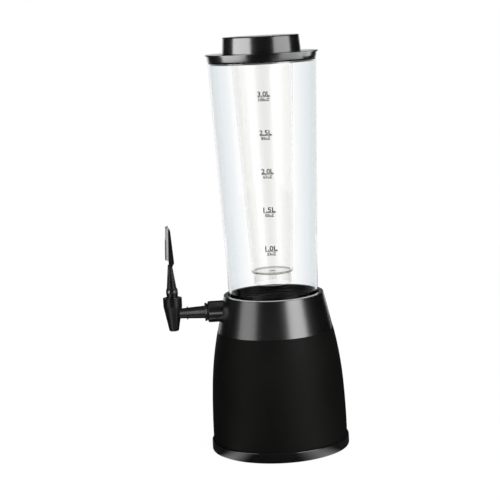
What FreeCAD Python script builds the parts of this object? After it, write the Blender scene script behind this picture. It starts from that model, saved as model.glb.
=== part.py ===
import FreeCAD, Part
import Sketcher
import os
import re

# Beer tower dispenser.  The tower axis is Z, the underside of its rubber pad is at Z = 0
# and the tap points along -X.  All sizes are millimetres.

doc = FreeCAD.newDocument("BeerTower")

# ---------------------------------------------------------------- driving sizes

DRIVING_SIZES = [
    # gaps and allowances
    ("fit_gap", 0.3, "gap between round pieces that sit in one another"),
    ("thread_gap", 0.1, "gap of threaded and pushed-on pieces"),
    ("press_gap", 0.02, "gap of a pin that is pressed in"),
    ("running_gap", 0.05, "running gap of the lever on its pivot pin"),
    ("overrun", 1.0, "length by which a cut runs past, or a moulded boss into, its solid"),
    # base: rubber pad, bottom plate, gloss trim ring and the weight
    ("pad_margin", 0.8, "rubber pad inside the heads of the screws"),
    ("pad_thickness", 1.6, "rubber pad"),
    ("table_gap", 0.8, "height of the trim ring's lower edge above the table"),
    ("plate_thickness", 3.0, "bottom plate"),
    ("trim_lip", 1.75, "trim ring outside its groove for the shell"),
    ("trim_top", 13.3, "upper edge of the trim ring"),
    ("trim_wall", 3.8, "trim ring beside the bottom plate"),
    ("flange_margin", 4.7, "screwed flanges inside their screw circle"),
    ("trim_flange_thickness", 2.4, "trim ring's flange"),
    ("trim_round", 2.2, "lower outside corner of the trim ring"),
    ("trim_top_round", 0.9, "upper outside corner of the trim ring"),
    ("weight_radius", 62.0, "steel weight"),
    ("weight_thickness", 12.0, "steel weight"),
    ("weight_edge", 1.5, "upper edge of the steel weight"),
    ("post_slack", 0.4, "the weight stands above its posts, so that its screws clamp it"),
    ("weight_pitch", 42.0, "pitch radius of the weight's posts"),
    ("post_radius", 4.0, "plate and collar posts"),
    ("screw_head_radius", 3.4, "pan head of the tapping screws"),
    ("screw_head_height", 1.6, "pan head of the tapping screws"),
    ("screw_radius", 1.45, "shank of the tapping screws"),
    ("screw_length", 14.0, "shank of the tapping screws"),
    ("screw_clearance", 0.35, "clearance of the screws in their plain holes"),
    ("head_sink", 0.1, "screw heads lie this far inside the bottom plate"),
    ("weight_screw_length", 11.0, "shank of the weight's screws"),
    ("blind_end", 3.0, "solid end of the blind screw holes"),
    ("washer_head_radius", 6.5, "washer head of the weight's screws"),
    # matt barrel-shaped body shell
    ("foot_radius", 81.7, "outside of the shell at the trim ring"),
    ("waist_inset", 1.9, "the shell is narrower by this much at the waist"),
    ("waist_height", 80.0, "waist, where the two curves of the shell meet"),
    ("foot_curve", 970.0, "radius of the shell's lower curve"),
    ("shoulder_curve", 420.0, "radius of the shell's upper curve"),
    ("seam_radius", 70.3, "outside of the shell at the collar"),
    ("seam_step", 0.35, "the collar is narrower than the shell at their seam"),
    ("seam_margin", 12.9, "seam of shell and collar below the collar's tap boss"),
    ("shell_wall", 2.6, "wall of the shell"),
    ("shell_boss_radius", 4.5, "screw bosses of the shell"),
    ("boss_bite", 0.3, "screw bosses run into the shell's wall by this much"),
    ("shell_boss_height", 18.0, "screw bosses of the shell"),
    ("shell_flange_thickness", 2.7, "upper flange of the shell"),
    # gloss collar
    ("rim_wall", 6.3, "wall of the collar at its rim"),
    ("collar_wall", 3.2, "wall of the collar"),
    ("collar_foot_wall", 5.0, "collar at the seam, spigot and shoulder together"),
    ("spigot_depth", 7.5, "spigot of the collar inside the shell"),
    ("post_offset", 4.4, "axes of the collar's posts inside its spigot"),
    ("collar_post_height", 21.0, "screw posts of the collar"),
    ("tube_seat_depth", 7.5, "lower end of the tube below the rim"),
    ("gasket_thickness", 2.0, "flat gasket under the tube"),
    ("ledge_thickness", 3.0, "ledge of the collar that carries the cup"),
    ("ledge_cone", 4.0, "height of the cone under the ledge"),
    ("ledge_gap", 0.15, "gap between the ledge and the cup's boss"),
    ("rim_round", 0.7, "edges of the collar's rim"),
    # cup under the tube, with the hole of the tap
    ("cup_step", 4.4, "wall of the cup inside the edge of its flange's seat"),
    ("cup_taper", 2.3, "the cup gets narrower by this much toward its floor"),
    ("cup_wall", 2.5, "wall of the cup"),
    ("cup_flange_thickness", 2.8, "flange of the cup"),
    ("cup_clearance", 1.6, "floor of the cup below its boss"),
    ("cup_floor", 3.0, "floor of the cup"),
    ("cup_bevel", 2.5, "lower edge of the cup"),
    ("cup_boss_length", 5.4, "boss of the cup through its wall"),
    # clear beverage tube
    ("tube_foot_radius", 53.5, "outside of the tube at its seat"),
    ("tube_top_radius", 64.7, "outside of the tube at its mouth"),
    ("tube_top", 469.8, "mouth of the tube"),
    ("tube_wall", 2.4, "wall of the tube"),
    # lid
    ("lid_seal_thickness", 0.8, "flat seal between the tube's mouth and the lid"),
    ("lid_height", 9.4, "lid above that seal"),
    ("band_draft", 1.1, "band of the lid gets wider by this much toward its lip"),
    ("band_round", 1.2, "lower edge of the band"),
    ("lip_overhang", 1.7, "lip of the lid outside its band"),
    ("lip_thickness", 1.4, "lip of the lid"),
    ("lip_round", 0.5, "upper edge of the lip"),
    ("lid_plate", 2.8, "top plate of the lid"),
    ("centring_gap", 0.4, "gap of the lid's centring rim in the tube's mouth"),
    ("centring_depth", 2.0, "centring rim below the tube's mouth"),
    ("centring_wall", 2.4, "wall of the centring rim"),
    ("neck_gap", 0.8, "gap between the ice tube and the hole of the lid"),
    ("neck_wall", 3.6, "neck round the hole"),
    ("neck_height", 9.0, "neck above the lid"),
    ("neck_draft", 0.3, "neck gets smaller by this much in radius"),
    # ice tube
    ("ice_tube_floor", 218.4, "inside floor of the ice tube"),
    ("ice_tube_foot_radius", 25.05, "outside of the ice tube at its floor"),
    ("ice_tube_head_radius", 37.6, "outside of the ice tube under its flange"),
    ("ice_tube_wall", 2.4, "wall of the ice tube"),
    ("ice_floor_thickness", 2.0, "floor of the ice tube"),
    ("ice_foot_bevel", 0.8, "lower edge of the ice tube"),
    ("ice_seal_thickness", 1.2, "flat seal under the flange"),
    ("ice_flange_thickness", 2.0, "flange of the ice tube"),
    ("skirt_step", 2.3, "skirt inside the ice tube's foot"),
    ("skirt_wall", 1.6, "skirt below the floor"),
    ("skirt_height", 13.0, "skirt below the floor"),
    ("skirt_boss_radius", 4.0, "moulding boss below the floor"),
    ("skirt_boss_height", 7.4, "moulding boss below the floor"),
    # cap of the ice tube
    ("cap_clearance", 2.1, "gap between the cap's wall and the neck"),
    ("cap_taper", 1.45, "the cap gets narrower by this much toward its top"),
    ("cap_wall", 3.0, "wall of the cap"),
    ("cap_roof", 3.5, "roof of the cap"),
    ("rib_height", 2.3, "rib of the cap's roof over the sealing ring"),
    ("cap_gap", 0.4, "lower edge of the cap above the lid"),
    ("cap_round", 1.4, "upper edge of the cap"),
    ("liner_thickness", 1.5, "sealing ring in the cap"),
    ("liner_inset", 0.5, "sealing ring and its rib inside the edge of the ice tube's flange"),
    # tap: boss, shank and spout
    ("tap_height", 172.3, "axis of the tap's arm above the table"),
    ("tap_reach", 122.4, "axis of the spout from the tower axis"),
    ("boss_reach", 80.5, "end of the collar's boss from the tower axis"),
    ("boss_radius", 12.9, "boss of the collar"),
    ("boss_chamfer", 1.2, "edge of the boss"),
    ("boss_cover", 0.1, "rim of the cup above its boss"),
    ("shank_radius", 6.0, "threaded end of the tap"),
    ("shank_gap", 0.2, "gap of the shank in its holes"),
    ("shank_overhang", 2.6, "shank past the nut"),
    ("seal_washer_radius", 10.0, "washer under the tap's flange"),
    ("seal_washer_thickness", 1.2, "washer under the tap's flange"),
    ("tap_flange_radius", 11.0, "flange of the tap"),
    ("tap_flange_thickness", 2.4, "flange of the tap"),
    ("arm_root_radius", 7.7, "arm at the flange"),
    ("arm_tip_radius", 5.9, "arm at the spout"),
    ("arm_bore_radius", 3.5, "passage through the arm"),
    ("bead_radius", 8.0, "ring bead on the arm"),
    ("bead_width", 1.2, "ring bead on the arm"),
    ("bead_reach", 16.6, "ring bead from the spout axis"),
    ("washer_margin", 0.14, "washer outside the corners of the nut"),
    ("nut_washer_thickness", 1.5, "washer under the nut"),
    ("nut_wall", 2.66, "corners of the nut outside the shank"),
    ("nut_height", 6.0, "hexagon nut"),
    ("spout_drop", 20.8, "outlet below the arm's axis"),
    ("spout_tip_radius", 5.7, "outside of the spout at the outlet"),
    ("spout_tip_round", 1.4, "lower edge of the spout"),
    ("outlet_radius", 3.0, "outlet bore"),
    ("seat_drop", 13.7, "valve seat below the arm's axis"),
    ("seat_radius", 4.5, "chamber at the valve seat"),
    ("chamber_radius", 7.4, "chamber above the arm"),
    ("chamber_rise", 2.0, "end of the chamber's cone above the arm's axis"),
    ("bonnet_foot_rise", 9.4, "lower edge of the bonnet above the arm's axis"),
    ("bonnet_foot_radius", 11.35, "bonnet at its lower edge"),
    ("bonnet_top_radius", 11.45, "bonnet at its top"),
    ("bonnet_drop", 6.6, "top of the bonnet below the lever's pivot"),
    ("bonnet_roof", 2.5, "thinnest place of the bonnet's roof"),
    ("neck_ring_radius", 9.2, "threaded neck of the spout inside the bonnet"),
    ("diaphragm_thickness", 1.5, "rubber disc under the bonnet"),
    ("lip_rise", 0.7, "lip round the bonnet's bowl"),
    ("lip_draft", 0.2, "lip gets smaller by this much in radius"),
    ("bowl_lip_width", 1.0, "lip round the bonnet's bowl"),
    ("lug_inner", 1.8, "inner face of a pivot lug from the middle"),
    ("lug_thickness", 1.4, "pivot lug"),
    ("lug_radius", 2.5, "round end of a pivot lug"),
    # tap lever
    ("pivot_rise", 26.3, "lever pivot above the arm's axis"),
    ("ball_radius", 8.0, "ball of the lever"),
    ("lever_skirt_radius", 7.6, "short skirt below the ball"),
    ("lever_skirt_drop", 5.1, "short skirt below the ball"),
    ("bowl_gap", 0.35, "gap between the lever's skirt and the bowl"),
    ("lug_gap", 0.3, "gap between the lugs and the sides of the lever's slot"),
    ("lever_slot_rise", 3.6, "roof of the slot above the pivot"),
    ("pivot_pin_radius", 1.1, "pivot pin"),
    ("pin_inset", 0.5, "ends of the pins inside the ball"),
    ("lift_pin_radius", 1.0, "lift pin"),
    ("lift_arm", 4.8, "lift pin from the pivot"),
    ("lever_neck_foot", 12.2, "neck of the lever at the ball"),
    ("neck_foot_shift", 0.15, "neck at the ball, ahead of the pivot's plane"),
    ("neck_head_shift", 0.6, "neck under the paddle, ahead of the pivot's plane"),
    ("neck_corner", 5.9, "corners of the neck at the ball"),
    ("neck_head_corner", 2.65, "corners of the neck under the paddle"),
    ("lever_neck_depth", 5.45, "neck of the lever under the paddle, side view"),
    ("lever_neck_width", 13.0, "neck of the lever under the paddle, front view"),
    ("lever_neck_rise", 33.2, "upper end of the neck above the pivot"),
    ("paddle_width", 22.0, "paddle of the lever"),
    ("paddle_length", 37.7, "top of the paddle above the plate's lower edge"),
    ("heel_height", 3.9, "heel of the paddle above the neck"),
    ("paddle_heel_back", 4.65, "heel of the paddle behind the pivot's plane"),
    ("paddle_front", 2.0, "paddle's front face at its foot, ahead of the pivot's plane"),
    ("paddle_top_front", 0.35, "paddle's front face at its top, ahead of the pivot's plane"),
    ("paddle_top_back", 2.1, "back of the paddle under its top bevel, behind the pivot's plane"),
    ("paddle_top_bevel", 2.0, "bevel at the back of the paddle's top"),
    ("paddle_round", 7.0, "upper corners of the paddle"),
    ("paddle_foot_slope", 0.4, "drop of the paddle's underside toward its back"),
    ("badge_offset", 7.2, "lower edge of the front plate above the neck"),
    ("badge_overhang", 2.4, "front plate above the paddle"),
    ("badge_thickness", 2.1, "front plate of the paddle"),
    ("badge_inset", 0.75, "raised field of the front plate inside its edge"),
    ("lower_field_length", 24.6, "step of the raised field above the plate's lower edge"),
    ("field_step_height", 0.5, "slope of that step"),
    ("field_thickness", 1.8, "raised field below the step"),
    ("upper_field_thickness", 1.35, "raised field above the step"),
    # valve stem
    ("stem_radius", 1.8, "valve stem"),
    ("stem_gap", 0.1, "running gap of the stem"),
    ("stem_collar_radius", 4.4, "spring collar of the stem"),
    ("stem_collar_drop", 6.2, "spring collar below the arm's axis"),
    ("stem_collar_thickness", 1.4, "spring collar of the stem"),
    ("stub_radius", 1.0, "threaded stub in the stem's head"),
    ("stub_length", 2.0, "threaded stub in the stem's head"),
    ("head_thickness", 3.0, "flat head of the stem"),
    ("head_foot_drop", 6.4, "lower face of the head below the pivot"),
    ("head_cover", 0.5, "head above the stem's stub"),
    ("head_margin", 0.2, "head outside the stem's end"),
    ("eye_wall", 0.9, "head beside the eye"),
    ("eye_gap", 0.3, "gap of the lift pin in the eye"),
    ("eye_travel", 0.65, "sideways travel of the lift pin in the eye"),
    ("cup_seal_height", 4.7, "silicone seat cup"),
    ("seat_lip_height", 1.6, "flat foot of the seat cup"),
    ("seat_cone_height", 1.0, "cone of the seat cup"),
    ("seat_cup_wall", 1.4, "wall of the seat cup round the stem"),
    ("stem_tip_depth", 3.2, "stem inside the seat cup"),
    ("coil_radius", 3.5, "return spring, middle of the wire"),
    ("wire_radius", 0.4, "return spring"),
    ("coil_turns", 6.0, "return spring"),
]

DERIVED_SIZES = [
    # shell, trim ring and plate, from the shell's foot
    ("foot_inner", "foot_radius - shell_wall"),
    ("waist_radius", "foot_radius - waist_inset"),
    ("shell_screw_pitch", "foot_inner - shell_boss_radius + boss_bite"),
    ("pad_radius", "shell_screw_pitch - screw_head_radius - pad_margin"),
    ("trim_radius", "foot_radius + fit_gap + trim_lip"),
    ("trim_flange_radius", "shell_screw_pitch - flange_margin"),
    # cup, tube seat, rim and seam, from the tap's nut and the height of the tap
    ("nut_circumradius", "shank_radius + nut_wall"),
    ("nut_washer_radius", "nut_circumradius + washer_margin"),
    ("inner_boss_radius", "nut_washer_radius + thread_gap"),
    ("cup_rim", "tap_height + inner_boss_radius + boss_cover"),
    ("tube_seat", "cup_rim + gasket_thickness"),
    ("rim_height", "tube_seat + tube_seat_depth"),
    ("cup_floor_top", "tap_height - inner_boss_radius - cup_clearance"),
    ("seam_height", "tap_height - boss_radius - seam_margin"),
    ("tube_slope", "(tube_top_radius - tube_foot_radius) / (tube_top - tube_seat)"),
    ("bore_radius", "tube_foot_radius + tube_slope * tube_seat_depth + fit_gap"),
    ("rim_radius", "bore_radius + rim_wall"),
    ("cup_radius", "bore_radius - cup_step"),
    ("cup_foot_radius", "cup_radius - cup_taper"),
    ("boss_seam", "cup_radius + fit_gap"),
    ("cup_boss_inner", "boss_seam - cup_boss_length"),
    ("collar_foot_radius", "seam_radius - seam_step"),
    ("collar_screw_pitch", "collar_foot_radius - collar_foot_wall - post_offset"),
    ("shell_flange_radius", "collar_screw_pitch - flange_margin"),
    # everything else
    ("plate_top", "pad_thickness + plate_thickness"),
    ("shell_foot", "plate_top + trim_flange_thickness"),
    ("plate_radius", "trim_radius - trim_wall - fit_gap"),
    ("head_seat", "pad_thickness + screw_head_height + head_sink"),
    ("weight_top", "plate_top + weight_thickness"),
    ("pilot_radius", "screw_radius + thread_gap"),
    ("clearance_hole", "screw_radius + screw_clearance"),
    ("seam_inner", "seam_radius - shell_wall"),
    ("waist_inner", "waist_radius - shell_wall"),
    ("shell_flange_top", "seam_height - spigot_depth"),
    ("shell_flange_foot", "shell_flange_top - shell_flange_thickness"),
    ("collar_slope", "(collar_foot_radius - rim_radius) / (rim_height - seam_height)"),
    ("ledge_top", "cup_rim - cup_flange_thickness"),
    ("ledge_foot", "ledge_top - ledge_thickness"),
    ("ledge_radius", "sqrt(boss_seam ^ 2 + inner_boss_radius ^ 2) + ledge_gap"),
    ("cup_foot", "cup_floor_top - cup_floor"),
    ("tube_foot_inner", "tube_foot_radius - tube_wall"),
    ("tube_top_inner", "tube_top_radius - tube_wall"),
    ("lid_foot", "tube_top + lid_seal_thickness"),
    ("lid_top", "lid_foot + lid_height"),
    ("lip_foot", "lid_top - lip_thickness"),
    ("band_radius", "tube_top_radius + band_draft"),
    ("centring_radius", "tube_top_inner - centring_gap"),
    ("centring_foot", "tube_top - centring_depth"),
    ("neck_inner_radius", "ice_tube_head_radius + neck_gap"),
    ("neck_radius", "neck_inner_radius + neck_wall"),
    ("lip_radius", "band_radius + lip_overhang"),
    ("skirt_radius", "ice_tube_foot_radius - skirt_step"),
    ("cap_foot_radius", "neck_radius + cap_clearance + cap_wall"),
    ("cap_top_radius", "cap_foot_radius - cap_taper"),
    ("neck_top", "lid_top + neck_height"),
    ("ice_flange_foot", "neck_top + ice_seal_thickness"),
    ("ice_flange_top", "ice_flange_foot + ice_flange_thickness"),
    ("ice_floor_foot", "ice_tube_floor - ice_floor_thickness"),
    ("skirt_foot", "ice_floor_foot - skirt_height"),
    ("cap_foot", "lid_top + cap_gap"),
    ("liner_top", "ice_flange_top + liner_thickness"),
    ("cap_ceiling", "liner_top + rib_height"),
    ("cap_top", "cap_ceiling + cap_roof"),
    ("shank_hole", "shank_radius + shank_gap"),
    ("flange_face", "boss_reach + seal_washer_thickness"),
    ("flange_front", "flange_face + tap_flange_thickness"),
    ("nut_face", "cup_boss_inner - nut_washer_thickness"),
    ("shank_end", "nut_face - nut_height - shank_overhang"),
    ("pivot_height", "tap_height + pivot_rise"),
    ("bowl_radius", "sqrt(lever_skirt_radius ^ 2 + lever_skirt_drop ^ 2) + bowl_gap"),
    ("bonnet_top_rise", "pivot_rise - bonnet_drop"),
    ("bowl_lip_radius", "sqrt(bowl_radius ^ 2 - bonnet_drop ^ 2) + bowl_lip_width"),
    ("diaphragm_top", "pivot_rise - bowl_radius - bonnet_roof"),
    ("neck_ring_rise", "diaphragm_top - diaphragm_thickness"),
    ("lug_outer", "lug_inner + lug_thickness"),
    ("lever_slot", "2 * (lug_outer + lug_gap)"),
    ("paddle_heel_rise", "lever_neck_rise + heel_height"),
    ("badge_foot_rise", "lever_neck_rise + badge_offset"),
    ("paddle_top_rise", "badge_foot_rise + paddle_length"),
    ("field_step_rise", "badge_foot_rise + lower_field_length"),
    ("pivot_pin_length", "2 * (ball_radius - pin_inset)"),
    ("lift_pin_length", "2 * (sqrt(ball_radius ^ 2 - lift_arm ^ 2) - pin_inset)"),
    ("paddle_foot_back", "lever_neck_depth / 2 - neck_head_shift"),
    ("stem_top", "pivot_rise - head_foot_drop"),
    ("collar_rest", "stem_collar_thickness - stem_collar_drop"),
    ("head_shelf_drop", "head_foot_drop - stub_length - head_cover"),
    ("cup_seal_radius", "seat_radius - fit_gap"),
    ("cup_seal_top", "cup_seal_height - seat_drop"),
    ("stem_tip", "cup_seal_top - stem_tip_depth"),
    ("eye_radius", "lift_pin_radius + eye_gap"),
    ("badge_slope", "(paddle_front - paddle_top_front) / (paddle_top_rise - badge_foot_rise)"),
    ("badge_top", "paddle_top_rise + badge_overhang"),
    ("badge_top_back", "paddle_top_front - badge_slope * badge_overhang"),
    ("step_back", "paddle_front - badge_slope * (field_step_rise - badge_foot_rise)"),
]

sheet = doc.addObject("Spreadsheet::Sheet", "Sizes")
for row, (alias, value, meaning) in enumerate(DRIVING_SIZES, start=1):
    sheet.set("A%d" % row, alias)
    sheet.set("B%d" % row, str(value))
    sheet.set("C%d" % row, meaning)
    sheet.setAlias("B%d" % row, alias)
for row, (alias, formula) in enumerate(DERIVED_SIZES, start=len(DRIVING_SIZES) + 1):
    sheet.set("A%d" % row, alias)
    sheet.set("B%d" % row, "=" + formula)
    sheet.setAlias("B%d" % row, alias)
doc.recompute()

ALIAS_PATTERN = re.compile(r"[a-z][a-z_]+")
PLATE_SCREW_COUNT = 4
WEIGHT_POST_COUNT = 3
COLLAR_POST_COUNT = 3
NUT_SIDES = 6
SAME_PLACE = 0.01


# ---------------------------------------------------------------- helpers

def bound(text):
    """The expression text with every alias pointing into the sheet."""
    return ALIAS_PATTERN.sub(lambda word: "Sizes." + word.group(), text)


def number(text):
    """The present value of an expression, used to start a sketch near its solution."""
    filled = ALIAS_PATTERN.sub(lambda word: "(%.9f)" % sheet.get(word.group()), text)
    return FreeCAD.Units.Quantity(filled).Value


def new_body(name):
    body = doc.addObject("PartDesign::Body", name)
    body.Label = name
    return body


def place(body, across="0", up="0"):
    """Binds the body's place in the tower, in the XZ plane."""
    body.setExpression("Placement.Base.x", bound(across))
    body.setExpression("Placement.Base.z", bound(up))


def origin_plane(body, role):
    for feature in body.Origin.OriginFeatures:
        if feature.Role == role:
            return feature


def new_sketch(body, name, role="XZ_Plane", offset=None):
    sketch = body.newObject("Sketcher::SketchObject", name)
    sketch.AttachmentSupport = [(origin_plane(body, role), "")]
    sketch.MapMode = "FlatFace"
    if offset is not None:
        sketch.setExpression("AttachmentOffset.Base.z", bound(offset))
    return sketch


def pin_point(sketch, geometry, point, across, up):
    """Holds one point of the sketch at two sheet expressions."""
    for kind, text, axis in (("DistanceX", across, -2), ("DistanceY", up, -1)):
        if text == "0":
            sketch.addConstraint(Sketcher.Constraint("PointOnObject", geometry, point, axis))
            continue
        constraint = Sketcher.Constraint(kind, -1, 1, geometry, point, number(text))
        index = sketch.addConstraint(constraint)
        sketch.setExpression("Constraints[%d]" % index, bound(text))


def bend(start, end, radius):
    """An arc from start to end, counter-clockwise about a centre on its left."""
    chord = end - start
    if radius is None:
        radius = chord.Length / 2
    middle = (start + end) * 0.5
    side = FreeCAD.Vector(chord.y, -chord.x, 0).normalize()
    half = chord.Length / 2
    sagitta = radius - max(radius * radius - half * half, 0.0) ** 0.5
    return Part.Arc(start, middle + side * sagitta, end)


def outline(sketch, corners, bends=None):
    """A closed outline through the corners.

    bends maps an edge's index to the radius of its arc, or to None for a half circle.
    """
    bends = bends or {}
    points = [FreeCAD.Vector(number(across), number(up), 0) for across, up in corners]
    for index, start in enumerate(points):
        end = points[(index + 1) % len(points)]
        if index in bends:
            radius = bends[index]
            sketch.addGeometry(bend(start, end, radius and number(radius)))
        else:
            sketch.addGeometry(Part.LineSegment(start, end))
    for index, (across, up) in enumerate(corners):
        following = (index + 1) % len(corners)
        sketch.addConstraint(Sketcher.Constraint("Coincident", index, 2, following, 1))
        pin_point(sketch, index, 1, across, up)
    for index, radius in bends.items():
        if radius is None:
            sketch.addConstraint(Sketcher.Constraint("Symmetric", index, 1, index, 2, index, 3))
            continue
        constraint = Sketcher.Constraint("Radius", index, number(radius))
        sketch.setExpression("Constraints[%d]" % sketch.addConstraint(constraint), bound(radius))


def circle(sketch, across, up, radius):
    centre = FreeCAD.Vector(number(across), number(up), 0)
    geometry = sketch.addGeometry(Part.Circle(centre, FreeCAD.Vector(0, 0, 1), number(radius)))
    pin_point(sketch, geometry, 3, across, up)
    constraint = Sketcher.Constraint("Radius", geometry, number(radius))
    sketch.setExpression("Constraints[%d]" % sketch.addConstraint(constraint), bound(radius))


def round_rectangle(sketch, across, wide, deep, radius):
    """A rectangle with four equal round corners, centred at (across, 0)."""
    middle, corner = number(across), number(radius)
    half_wide, half_deep = number(wide) / 2, number(deep) / 2
    quarter = corner * (1 - 0.5 ** 0.5)
    corners = [(1, -1), (1, 1), (-1, 1), (-1, -1)]
    for x_side, y_side in corners:
        x_end, y_end = middle + x_side * half_wide, y_side * half_deep
        on_side = FreeCAD.Vector(x_end, y_end - y_side * corner, 0)
        on_end = FreeCAD.Vector(x_end - x_side * corner, y_end, 0)
        between = FreeCAD.Vector(x_end - x_side * quarter, y_end - y_side * quarter, 0)
        first, last = (on_side, on_end) if x_side == y_side else (on_end, on_side)
        sketch.addGeometry(Part.Arc(first, between, last))
    for index in range(4):
        start = sketch.getPoint(index, 2)
        end = sketch.getPoint((index + 1) % 4, 1)
        sketch.addGeometry(Part.LineSegment(start, end))
    for index in range(4):
        line = index + 4
        sketch.addConstraint(Sketcher.Constraint("Tangent", index, 2, line, 1))
        sketch.addConstraint(Sketcher.Constraint("Tangent", line, 2, (index + 1) % 4, 1))
        sketch.addConstraint(Sketcher.Constraint("Vertical" if index % 2 == 0 else "Horizontal", line))
        if index:
            sketch.addConstraint(Sketcher.Constraint("Equal", 0, index))
    constraint = Sketcher.Constraint("Radius", 0, corner)
    sketch.setExpression("Constraints[%d]" % sketch.addConstraint(constraint), bound(radius))
    half = "(%s) / 2" % wide
    limits = [("DistanceX", 4, "%s + %s" % (across, half)), ("DistanceX", 6, "%s - %s" % (across, half)),
              ("DistanceY", 5, "(%s) / 2" % deep), ("DistanceY", 7, "-(%s) / 2" % deep)]
    for kind, line, text in limits:
        index = sketch.addConstraint(Sketcher.Constraint(kind, -1, 1, line, 1, number(text)))
        sketch.setExpression("Constraints[%d]" % index, bound(text))


def finish(body, feature, before, adds):
    """Recomputes and checks that the feature really added or removed material."""
    doc.recompute()
    change = feature.Shape.Volume - before
    if (change > 0) != adds or abs(change) < 1e-6:
        raise ValueError("%s changes the volume of %s by %.4f" % (feature.Label, body.Label, change))


def volume_of(body):
    return body.Shape.Volume if body.Tip is not None and not body.Shape.isNull() else 0.0


def spin(body, name, corners, bends=None, axis="V_Axis", cut=False):
    """A full turn of the outline about the Z axis, or about the X axis with H_Axis."""
    before = volume_of(body)
    sketch = new_sketch(body, name + "_profile")
    outline(sketch, corners, bends)
    kind = "PartDesign::Groove" if cut else "PartDesign::Revolution"
    feature = body.newObject(kind, name)
    feature.Profile = sketch
    feature.ReferenceAxis = (sketch, [axis])
    feature.Angle = 360
    finish(body, feature, before, not cut)
    return feature


def extrude(body, name, sketch, length, cut=False, symmetric=False, backwards=False):
    before = volume_of(body)
    feature = body.newObject("PartDesign::Pocket" if cut else "PartDesign::Pad", name)
    feature.Profile = sketch
    feature.SideType = "Symmetric" if symmetric else "One side"
    feature.Reversed = backwards
    feature.setExpression("Length", bound(length))
    finish(body, feature, before, not cut)
    return feature


def rod_along_x(body, name, start, length, radius, up="0", cut=False):
    """A cylinder along +X from the plane X = start, added or cut."""
    sketch = new_sketch(body, name + "_profile", "YZ_Plane", start)
    circle(sketch, "0", up, radius)
    return extrude(body, name, sketch, length, cut, backwards=cut)


def rod_along_y(body, name, across, length, radius, cut=False):
    """A cylinder along Y, centred on the XZ plane, added or cut."""
    sketch = new_sketch(body, name + "_profile")
    circle(sketch, across, "0", radius)
    return extrude(body, name, sketch, length, cut, symmetric=True)


def polar(body, features, count):
    """Repeats the features together, evenly round the Z axis."""
    pattern = body.newObject("PartDesign::PolarPattern", features[0].Name + "_pattern")
    pattern.Originals = features
    pattern.Axis = (features[0].Profile[0], ["N_Axis"])
    pattern.Angle = 360
    pattern.Occurrences = count
    body.Tip = pattern
    doc.recompute()


def bolt_circle(body, name, pitch, radius, foot, height, count, cut=False):
    """Equal round posts or holes on a pitch circle, from the level foot upward."""
    sketch = new_sketch(body, name + "_profile", "XY_Plane", foot)
    circle(sketch, pitch, "0", radius)
    feature = extrude(body, name, sketch, height, cut, backwards=cut)
    polar(body, [feature], count)


def screws(name, pitch, head_foot, head_radius, shank_foot, shank_length, count):
    """Screws on a pitch circle, heads down or up, as separate solids of one piece."""
    body = new_body(name)
    sketch = new_sketch(body, "heads_profile", "XY_Plane", head_foot)
    circle(sketch, pitch, "0", head_radius)
    head = extrude(body, "heads", sketch, "screw_head_height")
    sketch = new_sketch(body, "shanks_profile", "XY_Plane", shank_foot)
    circle(sketch, pitch, "0", "screw_radius")
    shank = extrude(body, "shanks", sketch, shank_length)
    polar(body, [head, shank], count)
    return body


def ring_edges(body, radius, place_on_axis, axis="z"):
    """Names of the body's round edges of that radius, at that place along its axis."""
    names = []
    for index, edge in enumerate(body.Shape.Edges, start=1):
        curve = edge.Curve
        if not isinstance(curve, Part.Circle):
            continue
        centre = body.Placement.inverse().multVec(curve.Center)
        along = getattr(centre, axis) - number(place_on_axis)
        if abs(curve.Radius - number(radius)) < SAME_PLACE and abs(along) < SAME_PLACE:
            names.append("Edge%d" % index)
    return names


def dress(body, name, edges, size, kind="Fillet"):
    """A fillet or chamfer on the named edges of the body."""
    dressed = body.Tip
    feature = body.newObject("PartDesign::" + kind, name)
    feature.Base = (dressed, edges)
    feature.setExpression("Radius" if kind == "Fillet" else "Size", bound(size))
    doc.recompute()
    return feature


# ---------------------------------------------------------------- base

def make_base_pad():
    """Rubber disc that the tower stands on, inside the circle of the screws."""
    body = new_body("base_pad")
    spin(body, "pad_disc", [("0", "0"), ("pad_radius", "0"), ("pad_radius", "pad_thickness"),
                            ("0", "pad_thickness")])
    return body


def make_bottom_plate():
    """Moulded plate that closes the base, with posts through the steel weight."""
    body = new_body("bottom_plate")
    spin(body, "plate_disc", [("0", "pad_thickness"), ("plate_radius", "pad_thickness"),
                              ("plate_radius", "plate_top"), ("0", "plate_top")])
    bolt_circle(body, "weight_posts", "weight_pitch", "post_radius", "plate_top",
                "weight_thickness - post_slack", WEIGHT_POST_COUNT)
    bolt_circle(body, "weight_pilots", "weight_pitch", "pilot_radius", "plate_top",
                "weight_thickness", WEIGHT_POST_COUNT, cut=True)
    bolt_circle(body, "screw_holes", "shell_screw_pitch", "clearance_hole", "pad_thickness",
                "plate_thickness", PLATE_SCREW_COUNT, cut=True)
    bolt_circle(body, "head_recesses", "shell_screw_pitch", "screw_head_radius + fit_gap",
                "pad_thickness", "head_seat - pad_thickness", PLATE_SCREW_COUNT, cut=True)
    return body


def make_plate_screws():
    """Pan-head tapping screws from below, through plate and trim ring into the shell."""
    return screws("plate_screws", "shell_screw_pitch", "head_seat - screw_head_height",
                  "screw_head_radius", "head_seat", "screw_length", PLATE_SCREW_COUNT)


def make_weight():
    """Turned steel disc that keeps the tower from tipping."""
    body = new_body("ballast_disc")
    spin(body, "weight_disc", [("0", "plate_top"), ("weight_radius", "plate_top"),
                               ("weight_radius", "weight_top - weight_edge"),
                               ("weight_radius - weight_edge", "weight_top"), ("0", "weight_top")])
    bolt_circle(body, "post_holes", "weight_pitch", "post_radius + fit_gap", "plate_top",
                "weight_thickness", WEIGHT_POST_COUNT, cut=True)
    return body


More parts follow.
